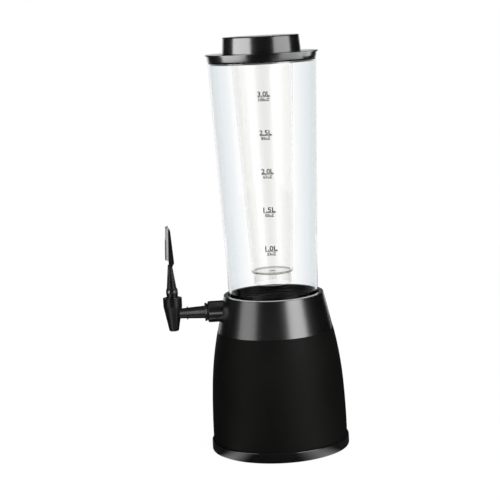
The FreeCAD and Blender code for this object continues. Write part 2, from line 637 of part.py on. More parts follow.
def make_weight_screws():
    """Washer-head screws that clamp the weight down over the plate's posts."""
    return screws("ballast_screws", "weight_pitch", "weight_top", "washer_head_radius",
                  "weight_top - weight_screw_length", "weight_screw_length", WEIGHT_POST_COUNT)


def make_base_ring():
    """Gloss trim ring: its groove takes the shell's foot, its flange is clamped below."""
    body = new_body("base_ring")
    spin(body, "ring", [("trim_flange_radius", "plate_top"),
                        ("trim_radius - trim_wall", "plate_top"), ("trim_radius - trim_wall", "table_gap"),
                        ("trim_radius", "table_gap"), ("trim_radius", "trim_top"),
                        ("foot_radius + fit_gap", "trim_top"), ("foot_radius + fit_gap", "shell_foot"),
                        ("trim_flange_radius", "shell_foot")])
    bolt_circle(body, "screw_holes", "shell_screw_pitch", "clearance_hole", "plate_top",
                "trim_flange_thickness", PLATE_SCREW_COUNT, cut=True)
    dress(body, "foot_round", ring_edges(body, "trim_radius", "table_gap"), "trim_round")
    dress(body, "top_round", ring_edges(body, "trim_radius", "trim_top"), "trim_top_round")
    return body


def make_body_shell():
    """Matt barrel-shaped shell, with screw bosses at its foot and a flange under the collar."""
    body = new_body("body_shell")
    spin(body, "shell_wall_ring",
         [("foot_inner", "shell_foot"), ("foot_radius", "shell_foot"), ("foot_radius", "trim_top"),
          ("waist_radius", "waist_height"), ("seam_radius", "seam_height"), ("seam_inner", "seam_height"),
          ("waist_inner", "waist_height"), ("foot_inner", "trim_top")],
         {2: "foot_curve", 3: "shoulder_curve"})
    spin(body, "upper_flange", [("shell_flange_radius", "shell_flange_foot"),
                                ("seam_radius", "shell_flange_foot"), ("seam_radius", "shell_flange_top"),
                                ("shell_flange_radius", "shell_flange_top")])
    bolt_circle(body, "flange_holes", "collar_screw_pitch", "clearance_hole", "shell_flange_foot",
                "shell_flange_thickness", COLLAR_POST_COUNT, cut=True)
    bolt_circle(body, "foot_bosses", "shell_screw_pitch", "shell_boss_radius", "shell_foot",
                "shell_boss_height", PLATE_SCREW_COUNT)
    bolt_circle(body, "foot_pilots", "shell_screw_pitch", "pilot_radius", "shell_foot",
                "shell_boss_height - blind_end", PLATE_SCREW_COUNT, cut=True)
    return body


# ---------------------------------------------------------------- collar and cup

def make_collar():
    """Gloss conical collar: tube socket, ledge for the cup, spigot, posts and tap boss."""
    body = new_body("collar")
    cone_foot = "ledge_foot - ledge_cone"
    ledge_root = "collar_foot_radius - collar_slope * (%s - seam_height) - collar_wall" % cone_foot
    spin(body, "collar_wall_ring",
         [("collar_foot_radius", "seam_height"), ("rim_radius", "rim_height"),
          ("ledge_radius", "rim_height"), ("ledge_radius", "ledge_foot"),
          (ledge_root, cone_foot),
          ("collar_foot_radius - collar_foot_wall", "seam_height"),
          ("collar_foot_radius - collar_foot_wall", "seam_height - spigot_depth"),
          ("seam_inner - fit_gap", "seam_height - spigot_depth"), ("seam_inner - fit_gap", "seam_height")])
    rod_along_x(body, "tap_boss", "-boss_reach", "boss_reach - rim_radius", "boss_radius", "tap_height")
    rod_along_x(body, "inner_boss", "-rim_radius - overrun", "rim_radius + overrun - boss_seam",
                "inner_boss_radius", "tap_height")
    spin(body, "bore", [("0", "ledge_top"), ("bore_radius", "ledge_top"),
                        ("bore_radius", "rim_height + overrun"), ("0", "rim_height + overrun")], cut=True)
    bolt_circle(body, "posts", "collar_screw_pitch", "post_radius", "seam_height - spigot_depth",
                "collar_post_height", COLLAR_POST_COUNT)
    bolt_circle(body, "post_pilots", "collar_screw_pitch", "pilot_radius", "seam_height - spigot_depth",
                "collar_post_height - blind_end", COLLAR_POST_COUNT, cut=True)
    rim_edges = ring_edges(body, "rim_radius", "rim_height") + ring_edges(body, "bore_radius", "rim_height")
    dress(body, "rim_rounds", rim_edges, "rim_round")
    rod_along_x(body, "shank_bore", "-boss_reach", "boss_reach - boss_seam + overrun", "shank_hole",
                "tap_height", cut=True)
    dress(body, "boss_edge", ring_edges(body, "boss_radius", "-boss_reach", "x"), "boss_chamfer", "Chamfer")
    return body


def make_collar_screws():
    """Screws from inside the shell that hold its flange to the collar's posts."""
    return screws("collar_screws", "collar_screw_pitch", "shell_flange_foot - screw_head_height",
                  "screw_head_radius", "shell_flange_foot", "screw_length", COLLAR_POST_COUNT)


def make_reservoir_cup():
    """Black cup that closes the tube below, with a flat boss for the tap's nut."""
    body = new_body("reservoir_cup")
    spin(body, "cup_wall_ring",
         [("0", "cup_foot"), ("cup_foot_radius - cup_bevel", "cup_foot"),
          ("cup_foot_radius", "cup_foot + cup_bevel"), ("cup_radius", "ledge_top"),
          ("bore_radius - fit_gap", "ledge_top"), ("bore_radius - fit_gap", "cup_rim"),
          ("cup_radius - cup_wall", "cup_rim"), ("cup_foot_radius - cup_wall", "cup_floor_top"),
          ("0", "cup_floor_top")])
    rod_along_x(body, "nut_boss", "-boss_seam", "boss_seam - cup_boss_inner", "inner_boss_radius",
                "tap_height")
    rod_along_x(body, "shank_bore", "-boss_seam - overrun", "boss_seam - cup_boss_inner + 2 * overrun",
                "shank_hole", "tap_height", cut=True)
    return body


def make_tube_gasket():
    """Flat silicone ring between the cup's rim and the tube."""
    body = new_body("tube_gasket")
    spin(body, "ring", [("tube_foot_inner", "cup_rim"), ("bore_radius - fit_gap", "cup_rim"),
                        ("bore_radius - fit_gap", "tube_seat"), ("tube_foot_inner", "tube_seat")])
    return body


# ---------------------------------------------------------------- tube, lid, ice tube and cap

def make_beverage_tube():
    """Clear tube, slightly wider at its mouth, that stands in the collar."""
    body = new_body("beverage_tube")
    spin(body, "wall", [("tube_foot_inner", "tube_seat"), ("tube_foot_radius", "tube_seat"),
                        ("tube_top_radius", "tube_top"), ("tube_top_inner", "tube_top")])
    return body


def make_lid():
    """Gloss lid on the tube's mouth: band with a lip, centring rim, neck for the ice tube."""
    body = new_body("lid")
    spin(body, "lid_section",
         [("neck_inner_radius", "lid_top - lid_plate"), ("tube_top_inner", "lid_top - lid_plate"),
          ("centring_radius - centring_wall", "lid_foot"), ("centring_radius - centring_wall", "centring_foot"),
          ("centring_radius", "centring_foot"), ("centring_radius", "lid_foot"),
          ("tube_top_radius", "lid_foot"), ("band_radius", "lip_foot"), ("lip_radius", "lip_foot"),
          ("lip_radius", "lid_top"), ("neck_radius", "lid_top"),
          ("neck_radius - neck_draft", "neck_top"), ("neck_inner_radius", "neck_top")])
    dress(body, "band_edge", ring_edges(body, "tube_top_radius", "lid_foot"), "band_round")
    dress(body, "lip_edge", ring_edges(body, "lip_radius", "lid_top"), "lip_round")
    return body


def make_lid_seal():
    """Flat silicone ring under the lid's band, on the tube's mouth."""
    body = new_body("lid_gasket")
    spin(body, "ring", [("centring_radius", "tube_top"), ("tube_top_radius - band_round", "tube_top"),
                        ("tube_top_radius - band_round", "lid_foot"), ("centring_radius", "lid_foot")])
    return body


def make_ice_tube():
    """Clear inner tube for ice, hung by its flange, with a skirt and a boss below its floor."""
    body = new_body("ice_tube")
    spin(body, "ice_section",
         [("0", "ice_floor_foot"), ("skirt_radius - skirt_wall", "ice_floor_foot"),
          ("skirt_radius - skirt_wall", "skirt_foot"), ("skirt_radius", "skirt_foot"),
          ("skirt_radius", "ice_floor_foot"), ("ice_tube_foot_radius", "ice_floor_foot + ice_foot_bevel"),
          ("ice_tube_head_radius", "ice_flange_foot"), ("neck_radius", "ice_flange_foot"),
          ("neck_radius", "ice_flange_top"), ("ice_tube_head_radius - ice_tube_wall", "ice_flange_top"),
          ("ice_tube_foot_radius - ice_tube_wall", "ice_tube_floor"), ("0", "ice_tube_floor")])
    spin(body, "floor_boss", [("0", "ice_floor_foot - skirt_boss_height"),
                              ("skirt_boss_radius", "ice_floor_foot - skirt_boss_height"),
                              ("skirt_boss_radius", "ice_floor_foot + overrun"),
                              ("0", "ice_floor_foot + overrun")])
    return body


def make_ice_tube_seal():
    """Flat silicone ring on the lid's neck, under the ice tube's flange."""
    body = new_body("ice_tube_gasket")
    spin(body, "ring", [("neck_inner_radius", "neck_top"), ("neck_radius - neck_draft", "neck_top"),
                        ("neck_radius - neck_draft", "ice_flange_foot"),
                        ("neck_inner_radius", "ice_flange_foot")])
    return body


def make_ice_cap():
    """Gloss knob that closes the ice tube, hollow, with a rib that presses its sealing ring."""
    body = new_body("ice_cap")
    spin(body, "cap_section",
         [("cap_foot_radius - cap_wall", "cap_foot"), ("cap_foot_radius", "cap_foot"),
          ("cap_top_radius", "cap_top"), ("0", "cap_top"), ("0", "cap_ceiling"),
          ("ice_tube_head_radius", "cap_ceiling"), ("ice_tube_head_radius", "liner_top"),
          ("neck_radius - liner_inset", "liner_top"), ("neck_radius - liner_inset", "cap_ceiling"),
          ("cap_top_radius - cap_wall", "cap_ceiling")])
    dress(body, "top_round", ring_edges(body, "cap_top_radius", "cap_top"), "cap_round")
    return body


def make_cap_liner():
    """Silicone sealing ring between the cap's rib and the ice tube's flange."""
    body = new_body("cap_liner")
    spin(body, "ring",
         [("ice_tube_head_radius", "ice_flange_top"), ("neck_radius - liner_inset", "ice_flange_top"),
          ("neck_radius - liner_inset", "liner_top"), ("ice_tube_head_radius", "liner_top")])
    return body


# ---------------------------------------------------------------- tap

def make_shank_washer():
    """Rubber washer between the collar's boss and the tap's flange."""
    body = new_body("shank_washer")
    place(body, up="tap_height")
    rod_along_x(body, "disc", "-flange_face", "seal_washer_thickness", "seal_washer_radius")
    rod_along_x(body, "hole", "-flange_face - overrun", "seal_washer_thickness + 2 * overrun", "shank_hole",
                cut=True)
    return body


def make_nut_washer():
    """Rubber washer between the cup's boss and the nut."""
    body = new_body("nut_washer")
    place(body, up="tap_height")
    rod_along_x(body, "disc", "-cup_boss_inner", "nut_washer_thickness", "nut_washer_radius")
    rod_along_x(body, "hole", "-cup_boss_inner - overrun", "nut_washer_thickness + 2 * overrun",
                "shank_hole", cut=True)
    return body


def make_lock_nut():
    """Hexagon nut on the tap's shank, inside the cup."""
    prism = doc.addObject("Part::Prism", "nut_prism")
    prism.Polygon = NUT_SIDES
    prism.setExpression("Circumradius", bound("nut_circumradius"))
    prism.setExpression("Height", bound("nut_height"))
    hole = doc.addObject("Part::Cylinder", "nut_hole")
    hole.setExpression("Radius", bound("shank_radius + thread_gap"))
    hole.setExpression("Height", bound("nut_height"))
    nut = doc.addObject("Part::Cut", "lock_nut")
    nut.Base = prism
    nut.Tool = hole
    nut.Label = "lock_nut"
    nut.Placement.Rotation = FreeCAD.Rotation(FreeCAD.Vector(0, 1, 0), 90)
    place(nut, "-nut_face", "tap_height")
    return nut


def make_tap_body():
    """Spout, arm, flange and threaded shank in one moulding, with chamber and passages."""
    body = new_body("tap_body")
    place(body, "-tap_reach", "tap_height")
    spin(body, "spout_cone", [("0", "-spout_drop"), ("spout_tip_radius", "-spout_drop"),
                              ("bonnet_foot_radius", "bonnet_foot_rise"),
                              ("neck_ring_radius", "bonnet_foot_rise"),
                              ("neck_ring_radius", "neck_ring_rise"), ("0", "neck_ring_rise")])
    spin(body, "arm", [("seat_radius", "0"), ("seat_radius", "arm_tip_radius"),
                       ("tap_reach - flange_front", "arm_root_radius"),
                       ("tap_reach - flange_front", "tap_flange_radius"),
                       ("tap_reach - flange_face", "tap_flange_radius"),
                       ("tap_reach - flange_face", "shank_radius"), ("tap_reach - shank_end", "shank_radius"),
                       ("tap_reach - shank_end", "0")], axis="H_Axis")
    spin(body, "bead", [("bead_reach", "arm_bore_radius + overrun"), ("bead_reach", "bead_radius"),
                        ("bead_reach + bead_width", "bead_radius"),
                        ("bead_reach + bead_width", "arm_bore_radius + overrun")], axis="H_Axis")
    spin(body, "chamber",
         [("0", "-spout_drop - overrun"), ("outlet_radius", "-spout_drop - overrun"),
          ("outlet_radius", "-seat_drop"), ("seat_radius", "-seat_drop"), ("chamber_radius", "chamber_rise"),
          ("chamber_radius", "neck_ring_rise + overrun"), ("0", "neck_ring_rise + overrun")], cut=True)
    spin(body, "passage", [("0", "0"), ("0", "arm_bore_radius"),
                           ("tap_reach - shank_end + overrun", "arm_bore_radius"),
                           ("tap_reach - shank_end + overrun", "0")], axis="H_Axis", cut=True)
    dress(body, "outlet_round", ring_edges(body, "spout_tip_radius", "-spout_drop"), "spout_tip_round")
    return body


def make_tap_bonnet():
    """Screw cap of the spout: bowl for the lever's fork and two lugs for its pivot pin."""
    body = new_body("tap_bonnet")
    place(body, "-tap_reach", "tap_height")
    thread = "neck_ring_radius + thread_gap"
    spin(body, "bonnet_section",
         [("0", "diaphragm_top"), (thread, "diaphragm_top"), (thread, "bonnet_foot_rise"),
          ("bonnet_foot_radius", "bonnet_foot_rise"), ("bonnet_top_radius", "bonnet_top_rise"),
          ("bowl_lip_radius", "bonnet_top_rise"),
          ("bowl_lip_radius - lip_draft", "bonnet_top_rise + lip_rise"),
          ("0", "bonnet_top_rise + lip_rise")])
    spin(body, "bowl", [("0", "pivot_rise - bowl_radius"), ("bowl_radius", "pivot_rise"),
                        ("0", "pivot_rise")], {0: "bowl_radius"}, cut=True)
    sketch = new_sketch(body, "lug_profile", offset="lug_inner")
    outline(sketch, [("-lug_radius", "pivot_rise - bowl_radius - overrun"),
                     ("lug_radius", "pivot_rise - bowl_radius - overrun"),
                     ("lug_radius", "pivot_rise"), ("-lug_radius", "pivot_rise")], {2: None})
    lug = extrude(body, "lug", sketch, "lug_thickness")
    mirror = body.newObject("PartDesign::Mirrored", "lug_pair")
    mirror.Originals = [lug]
    mirror.MirrorPlane = (origin_plane(body, "XZ_Plane"), [""])
    body.Tip = mirror
    doc.recompute()
    hole_top = "pivot_rise - bowl_radius + 2 * overrun"
    spin(body, "stem_hole", [("0", "diaphragm_top - overrun"),
                             ("stem_radius + fit_gap", "diaphragm_top - overrun"),
                             ("stem_radius + fit_gap", hole_top), ("0", hole_top)], cut=True)
    sketch = new_sketch(body, "pin_hole_profile")
    circle(sketch, "0", "pivot_rise", "pivot_pin_radius + press_gap")
    extrude(body, "pin_hole", sketch, "2 * lug_outer + 2 * overrun", cut=True, symmetric=True)
    return body


def make_diaphragm():
    """Rubber disc clamped by the bonnet; it seals the neck and the stem."""
    body = new_body("bonnet_gasket")
    place(body, "-tap_reach", "tap_height")
    spin(body, "disc", [("stem_radius + stem_gap", "neck_ring_rise"), ("neck_ring_radius", "neck_ring_rise"),
                        ("neck_ring_radius", "diaphragm_top"), ("stem_radius + stem_gap", "diaphragm_top")])
    return body


def make_return_spring():
    """Steel spring that presses the stem down, closed at rest."""
    body = new_body("return_spring")
    place(body, "-tap_reach", "tap_height")
    sketch = new_sketch(body, "wire_profile")
    circle(sketch, "coil_radius", "collar_rest + wire_radius", "wire_radius")
    coil = body.newObject("PartDesign::AdditiveHelix", "coil")
    coil.Profile = sketch
    coil.ReferenceAxis = (sketch, ["V_Axis"])
    coil.Mode = "height-turns-angle"
    coil.setExpression("Height", bound("neck_ring_rise - collar_rest - 2 * wire_radius"))
    coil.setExpression("Turns", bound("coil_turns"))
    doc.recompute()
    return body


def make_pin(name, across, radius, length):
    """A plain steel pin along Y in the lever's frame."""
    body = new_body(name)
    place(body, "-tap_reach", "pivot_height")
    rod_along_y(body, "pin", across, length, radius)
    return body


def make_tap_handle():
    """Lever: ball and skirt with a fork slot, neck and wedge-shaped paddle."""
    body = new_body("tap_handle")
    place(body, "-tap_reach", "pivot_height")
    spin(body, "ball", [("0", "-ball_radius"), ("0", "ball_radius")], {0: None})
    spin(body, "ball_skirt", [("0", "-lever_skirt_drop"), ("lever_skirt_radius", "-lever_skirt_drop"),
                              ("lever_skirt_radius", "0"), ("0", "0")])
    foot = new_sketch(body, "neck_foot", "XY_Plane", "ball_radius / 2")
    round_rectangle(foot, "-neck_foot_shift", "lever_neck_foot", "lever_neck_foot", "neck_corner")
    head = new_sketch(body, "neck_head", "XY_Plane", "lever_neck_rise")
    round_rectangle(head, "-neck_head_shift", "lever_neck_depth", "lever_neck_width", "neck_head_corner")
    neck = body.newObject("PartDesign::AdditiveLoft", "neck")
    neck.Profile = foot
    neck.Sections = [head]
    doc.recompute()
    sketch = new_sketch(body, "paddle_profile")
    outline(sketch, [("-paddle_front", "lever_neck_rise"),
                     ("paddle_foot_back", "lever_neck_rise - paddle_foot_slope"),
                     ("paddle_heel_back", "paddle_heel_rise"),
                     ("paddle_top_back", "paddle_top_rise - paddle_top_bevel"),
                     ("paddle_top_back - paddle_top_bevel", "paddle_top_rise"),
                     ("-paddle_top_front", "paddle_top_rise"), ("-paddle_front", "badge_foot_rise")])
    extrude(body, "paddle", sketch, "paddle_width", symmetric=True)
    round_paddle(body, "paddle_corners", "paddle_top_rise", "paddle_width / 2", "paddle_round")
    sketch = new_sketch(body, "slot_profile")
    reach = "ball_radius + overrun"
    outline(sketch, [("-(%s)" % reach, "-(%s)" % reach), (reach, "-(%s)" % reach),
                     (reach, "lever_slot_rise"), ("-(%s)" % reach, "lever_slot_rise")])
    extrude(body, "slot", sketch, "lever_slot", cut=True, symmetric=True)
    through = "2 * (%s)" % reach
    rod_along_y(body, "pivot_hole", "0", through, "pivot_pin_radius + running_gap", cut=True)
    rod_along_y(body, "lift_pin_hole", "lift_arm", through, "lift_pin_radius + press_gap", cut=True)
    return body


def round_paddle(body, name, top, side, radius):
    """Rounds the two upper corners of a paddle, as seen from the front."""
    level = number(top) + body.Placement.Base.z
    edges = []
    for index, edge in enumerate(body.Shape.Edges, start=1):
        box = edge.BoundBox
        runs_along_x = box.ZLength < SAME_PLACE and box.YLength < SAME_PLACE
        on_side = abs(abs(box.YMin) - number(side)) < SAME_PLACE
        if runs_along_x and on_side and abs(box.ZMin - level) < SAME_PLACE:
            edges.append("Edge%d" % index)
    return dress(body, name, edges, radius)


def make_handle_plate():
    """Light front plate of the paddle with a raised bare field in two steps."""
    body = new_body("handle_plate")
    place(body, "-tap_reach", "pivot_height")
    sketch = new_sketch(body, "field_profile")
    outline(sketch,
            [("-paddle_front - badge_thickness / 2", "badge_foot_rise + badge_inset"),
             ("-badge_top_back - badge_thickness / 2", "badge_top - badge_inset"),
             ("-badge_top_back - badge_thickness - upper_field_thickness", "badge_top - badge_inset"),
             ("-step_back - badge_thickness - upper_field_thickness", "field_step_rise + field_step_height"),
             ("-step_back - badge_thickness - field_thickness", "field_step_rise"),
             ("-paddle_front - badge_thickness - field_thickness", "badge_foot_rise + badge_inset")])
    extrude(body, "field", sketch, "paddle_width - 2 * badge_inset", symmetric=True)
    round_paddle(body, "field_corners", "badge_top - badge_inset", "paddle_width / 2 - badge_inset",
                 "paddle_round - badge_inset")
    sketch = new_sketch(body, "plate_profile")
    outline(sketch, [("-paddle_front", "badge_foot_rise"), ("-badge_top_back", "badge_top"),
                     ("-badge_top_back - badge_thickness", "badge_top"),
                     ("-paddle_front - badge_thickness", "badge_foot_rise")])
    extrude(body, "plate", sketch, "paddle_width", symmetric=True)
    round_paddle(body, "plate_corners", "badge_top", "paddle_width / 2", "paddle_round")
    return body


def make_valve_stem():
    """Stem with a spring collar, a tip for the seat cup and a threaded stub on top."""
    body = new_body("valve_stem")
    place(body, "-tap_reach", "tap_height")
    spin(body, "stem_section",
         [("0", "stem_tip"), ("stem_radius", "stem_tip"), ("stem_radius", "-stem_collar_drop"),
          ("stem_collar_radius", "-stem_collar_drop"), ("stem_collar_radius", "collar_rest"),
          ("stem_radius", "collar_rest"), ("stem_radius", "stem_top"), ("stub_radius", "stem_top"),
          ("stub_radius", "stem_top + stub_length"), ("0", "stem_top + stub_length")])
    return body


def make_stem_head():
    """Flat cranked head on the stem: its eye takes the lift pin beside the pivot pin."""
    body = new_body("stem_head")
    place(body, "-tap_reach", "pivot_height")
    left = "lift_arm - eye_travel - eye_radius - eye_wall"
    right = "lift_arm + eye_radius + eye_wall"
    top = "eye_radius + eye_wall"
    sketch = new_sketch(body, "head_profile")
    outline(sketch, [("-stem_radius - head_margin", "-head_foot_drop"),
                     ("lift_arm - stem_radius", "-head_foot_drop"), (right, "-head_shelf_drop"),
                     (right, top), (left, top),
                     (left, "-head_shelf_drop"), ("-stem_radius - head_margin", "-head_shelf_drop")])
    extrude(body, "head", sketch, "head_thickness", symmetric=True)
    sketch = new_sketch(body, "eye_profile")
    outline(sketch, [("lift_arm - eye_travel", "-eye_radius"), ("lift_arm", "-eye_radius"),
                     ("lift_arm", "eye_radius"), ("lift_arm - eye_travel", "eye_radius")], {1: None, 3: None})
    extrude(body, "eye", sketch, "2 * head_thickness", cut=True, symmetric=True)
    hole_end = "stub_length - head_foot_drop + thread_gap"
    spin(body, "stub_hole", [("0", "-head_foot_drop - overrun"),
                             ("stub_radius + thread_gap", "-head_foot_drop - overrun"),
                             ("stub_radius + thread_gap", hole_end), ("0", hole_end)], cut=True)
    return body


def make_seat_cup():
    """Silicone cup on the stem's tip; its flat foot closes the outlet."""
    body = new_body("seat_cup")
    place(body, "-tap_reach", "tap_height")
    lip_top = "seat_lip_height - seat_drop"
    neck = "stem_radius + seat_cup_wall"
    spin(body, "cup_section",
         [("0", "-seat_drop"), ("cup_seal_radius", "-seat_drop"), ("cup_seal_radius", lip_top),
          (neck, lip_top + " + seat_cone_height"), (neck, "cup_seal_top"),
          ("stem_radius + thread_gap", "cup_seal_top"), ("stem_radius + thread_gap", "stem_tip"),
          ("0", "stem_tip")])
    return body


# ---------------------------------------------------------------- assembly and export

NODES = [
    make_base_pad(), make_bottom_plate(), make_plate_screws(), make_weight(), make_weight_screws(),
    make_base_ring(), make_body_shell(), make_collar(), make_collar_screws(), make_reservoir_cup(),
    make_tube_gasket(), make_beverage_tube(), make_lid(), make_lid_seal(), make_ice_tube(),
    make_ice_tube_seal(), make_ice_cap(), make_cap_liner(), make_shank_washer(), make_nut_washer(),
    make_lock_nut(), make_tap_body(), make_tap_bonnet(), make_diaphragm(), make_return_spring(),
    make_pin("pivot_pin", "0", "pivot_pin_radius", "pivot_pin_length"),
    make_tap_handle(), make_handle_plate(),
    make_pin("lift_pin", "lift_arm", "lift_pin_radius", "lift_pin_length"),
    make_valve_stem(), make_stem_head(), make_seat_cup(),
]
doc.recompute()

for item in doc.Objects:
    if "Invalid" in item.State or "Error" in item.State:
        raise ValueError("%s failed: %s" % (item.Name, item.State))
for node in NODES:
    if node.Shape.isNull() or not node.Shape.isValid():
        raise ValueError("%s has no valid shape" % node.Label)

os.makedirs("parts", exist_ok=True)
for node in NODES:
    node.Shape.exportStep(os.path.join("parts", node.Label + ".step"))
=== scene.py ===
import math
import bpy
import bmesh
from mathutils import Matrix, Vector


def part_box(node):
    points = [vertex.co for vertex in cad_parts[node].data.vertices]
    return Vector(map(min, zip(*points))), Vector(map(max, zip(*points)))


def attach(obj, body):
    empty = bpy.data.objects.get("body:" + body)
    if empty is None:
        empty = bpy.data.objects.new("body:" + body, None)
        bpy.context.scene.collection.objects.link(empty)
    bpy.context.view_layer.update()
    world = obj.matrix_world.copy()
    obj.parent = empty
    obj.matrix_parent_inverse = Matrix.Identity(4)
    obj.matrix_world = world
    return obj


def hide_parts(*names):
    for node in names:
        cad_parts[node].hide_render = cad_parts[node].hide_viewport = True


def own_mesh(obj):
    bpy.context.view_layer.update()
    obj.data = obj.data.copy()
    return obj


# Beer tower dispenser.  Metres, the tower axis is Z and the tap points along -X.
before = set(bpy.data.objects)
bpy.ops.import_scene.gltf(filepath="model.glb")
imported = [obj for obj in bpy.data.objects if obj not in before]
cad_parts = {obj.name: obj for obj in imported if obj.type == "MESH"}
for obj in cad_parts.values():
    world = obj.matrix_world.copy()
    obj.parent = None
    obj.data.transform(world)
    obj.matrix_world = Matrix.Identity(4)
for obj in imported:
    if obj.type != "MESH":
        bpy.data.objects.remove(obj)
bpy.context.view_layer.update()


# ---------------------------------------------------------------- rubber pad
# Disc of black rubber that the tower stands on, cut from sheet and glued under the
# bottom plate.  Dull and slightly pebbled, with a little pale dust in its grain.

CLOUD_DETAIL = 3.0
CLOUD_RANGE = (0.35, 0.65)
GRAIN_DETAIL = 2.0
SMOOTH_ANGLE = math.radians(28)
WELD_DISTANCE = 1e-6


def feed(tree, value, socket):
    """Links another node's output to a socket, or sets the socket to a constant."""
    if isinstance(value, bpy.types.NodeSocket):
        tree.links.new(value, socket)
    else:
        socket.default_value = value


def mapped(tree, value, low, high, at_low, at_high, soft=False, clamp=True):
    """The value carried from the range low to high over to the range at_low to at_high."""
    node = tree.nodes.new("ShaderNodeMapRange")
    node.clamp = clamp
    if soft:
        node.interpolation_type = "SMOOTHSTEP"
    for name, entry in (("Value", value), ("From Min", low), ("From Max", high),
                        ("To Min", at_low), ("To Max", at_high)):
        feed(tree, entry, node.inputs[name])
    return node.outputs["Result"]


def mixed(tree, kind, share, first, second):
    """A mix of two colours, kind RGBA, or of two numbers, kind FLOAT."""
    node = tree.nodes.new("ShaderNodeMix")
    node.data_type = kind
    for name, entry in (("Factor", share), ("A", first), ("B", second)):
        feed(tree, entry, node.inputs[name])
    return node.outputs["Result"]


def own_noise(tree, scale, detail):
    """Noise in the object's own place."""
    place = tree.nodes.new("ShaderNodeTexCoord")
    noise = tree.nodes.new("ShaderNodeTexNoise")
    noise.inputs["Detail"].default_value = detail
    feed(tree, place.outputs["Object"], noise.inputs["Vector"])
    feed(tree, scale, noise.inputs["Scale"])
    return noise.outputs["Fac"]


def surface_cloud_group():
    """Slow cloudy change of colour and roughness, with a fine grain for the bump."""
    group = bpy.data.node_groups.new("surface_cloud", "ShaderNodeTree")
    face = group.interface
    for name, kind in (("Colour", "NodeSocketColor"), ("Second colour", "NodeSocketColor"),
                       ("Cloud scale", "NodeSocketFloat"), ("Least roughness", "NodeSocketFloat"),
                       ("Most roughness", "NodeSocketFloat"), ("Grain scale", "NodeSocketFloat")):
        face.new_socket(name=name, in_out="INPUT", socket_type=kind)
    for name, kind in (("Colour", "NodeSocketColor"), ("Roughness", "NodeSocketFloat"),
                       ("Grain", "NodeSocketFloat")):
        face.new_socket(name=name, in_out="OUTPUT", socket_type=kind)
    entry = group.nodes.new("NodeGroupInput").outputs
    leave = group.nodes.new("NodeGroupOutput").inputs
    cloud = mapped(group, own_noise(group, entry["Cloud scale"], CLOUD_DETAIL), *CLOUD_RANGE, 0.0, 1.0)
    colour = mixed(group, "RGBA", cloud, entry["Colour"], entry["Second colour"])
    roughness = mapped(group, cloud, 0.0, 1.0, entry["Least roughness"], entry["Most roughness"])
    feed(group, colour, leave["Colour"])
    feed(group, roughness, leave["Roughness"])
    feed(group, own_noise(group, entry["Grain scale"], GRAIN_DETAIL), leave["Grain"])
    return group


SURFACE_CLOUD = surface_cloud_group()


def finish_of(name, colour, second, cloud, roughness, grain, depth, plain=None):
    """A material whose colour, roughness and grain come from the cloudy surface.

    depth is the grain's depth in metres; plain holds constants of the shader's sockets.
    """
    material = bpy.data.materials.new(name)
    material.use_nodes = True
    tree = material.node_tree
    shader = tree.nodes["Principled BSDF"].inputs
    surface = tree.nodes.new("ShaderNodeGroup")
    surface.node_tree = SURFACE_CLOUD
    for socket, value in (("Colour", (*colour, 1.0)), ("Second colour", (*second, 1.0)),
                          ("Cloud scale", cloud), ("Least roughness", roughness[0]),
                          ("Most roughness", roughness[1]), ("Grain scale", grain)):
        surface.inputs[socket].default_value = value
    feed(tree, surface.outputs["Colour"], shader["Base Color"])
    feed(tree, surface.outputs["Roughness"], shader["Roughness"])
    if depth:
        bump = tree.nodes.new("ShaderNodeBump")
        bump.inputs["Distance"].default_value = depth
        feed(tree, surface.outputs["Grain"], bump.inputs["Height"])
        feed(tree, bump.outputs["Normal"], shader["Normal"])
    for socket, value in (plain or {}).items():
        shader[socket].default_value = value
    return material


def smooth_between_edges(piece):
    """Smooth shading that stops at the sharp edges."""
    piece.data.polygons.foreach_set("use_smooth", [True] * len(piece.data.polygons))
    weld = piece.modifiers.new("weld", "WELD")
    weld.merge_threshold = WELD_DISTANCE
    split = piece.modifiers.new("sharp_edges", "EDGE_SPLIT")
    split.split_angle = SMOOTH_ANGLE


def dress_node(name, material):
    """Gives a CAD node its material and smooth shading."""
    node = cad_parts[name]
    node.data.materials.clear()
    node.data.materials.append(material)
    smooth_between_edges(node)


pad_rubber = finish_of("pad_rubber", (0.020, 0.020, 0.021), (0.032, 0.031, 0.030), 60, (0.78, 0.92),
                       1400, 0.0002)
dress_node("base_pad", pad_rubber)


# ---------------------------------------------------------------- bottom plate and its screws
# Injection-moulded black plastic plate with posts for the weight, screwed up into the
# shell with zinc-plated pan-head tapping screws.

plate_plastic = finish_of("plate_plastic", (0.013, 0.013, 0.014), (0.018, 0.018, 0.018), 45, (0.45, 0.60),
                          2200, 0.00008)
dress_node("bottom_plate", plate_plastic)

zinc_plating = finish_of("zinc_plating", (0.48, 0.49, 0.50), (0.60, 0.60, 0.58), 300, (0.28, 0.42), 3000,
                         0.00002, {"Metallic": 1.0})
dress_node("plate_screws", zinc_plating)


# ---------------------------------------------------------------- weight
# Steel disc turned on a lathe, which keeps the tall tower upright, with the turning
# marks still on it and clamped over the plate's posts by three washer-head screws.

turned_steel = finish_of("turned_steel", (0.30, 0.30, 0.31), (0.38, 0.37, 0.36), 80, (0.30, 0.45), 1500,
                         0.00003, {"Metallic": 1.0})
dress_node("ballast_disc", turned_steel)
dress_node("ballast_screws", zinc_plating)


# ---------------------------------------------------------------- trim ring
# High-gloss black plastic ring round the foot; its groove takes the shell's lower edge
# and its flange is clamped by the bottom plate.

ring_gloss = finish_of("ring_gloss", (0.0045, 0.0045, 0.0045), (0.006, 0.006, 0.006), 25, (0.12, 0.18), 900,
                       0.00001, {"Coat Weight": 1.0, "Coat Roughness": 0.10, "Coat IOR": 1.6})
dress_node("base_ring", ring_gloss)


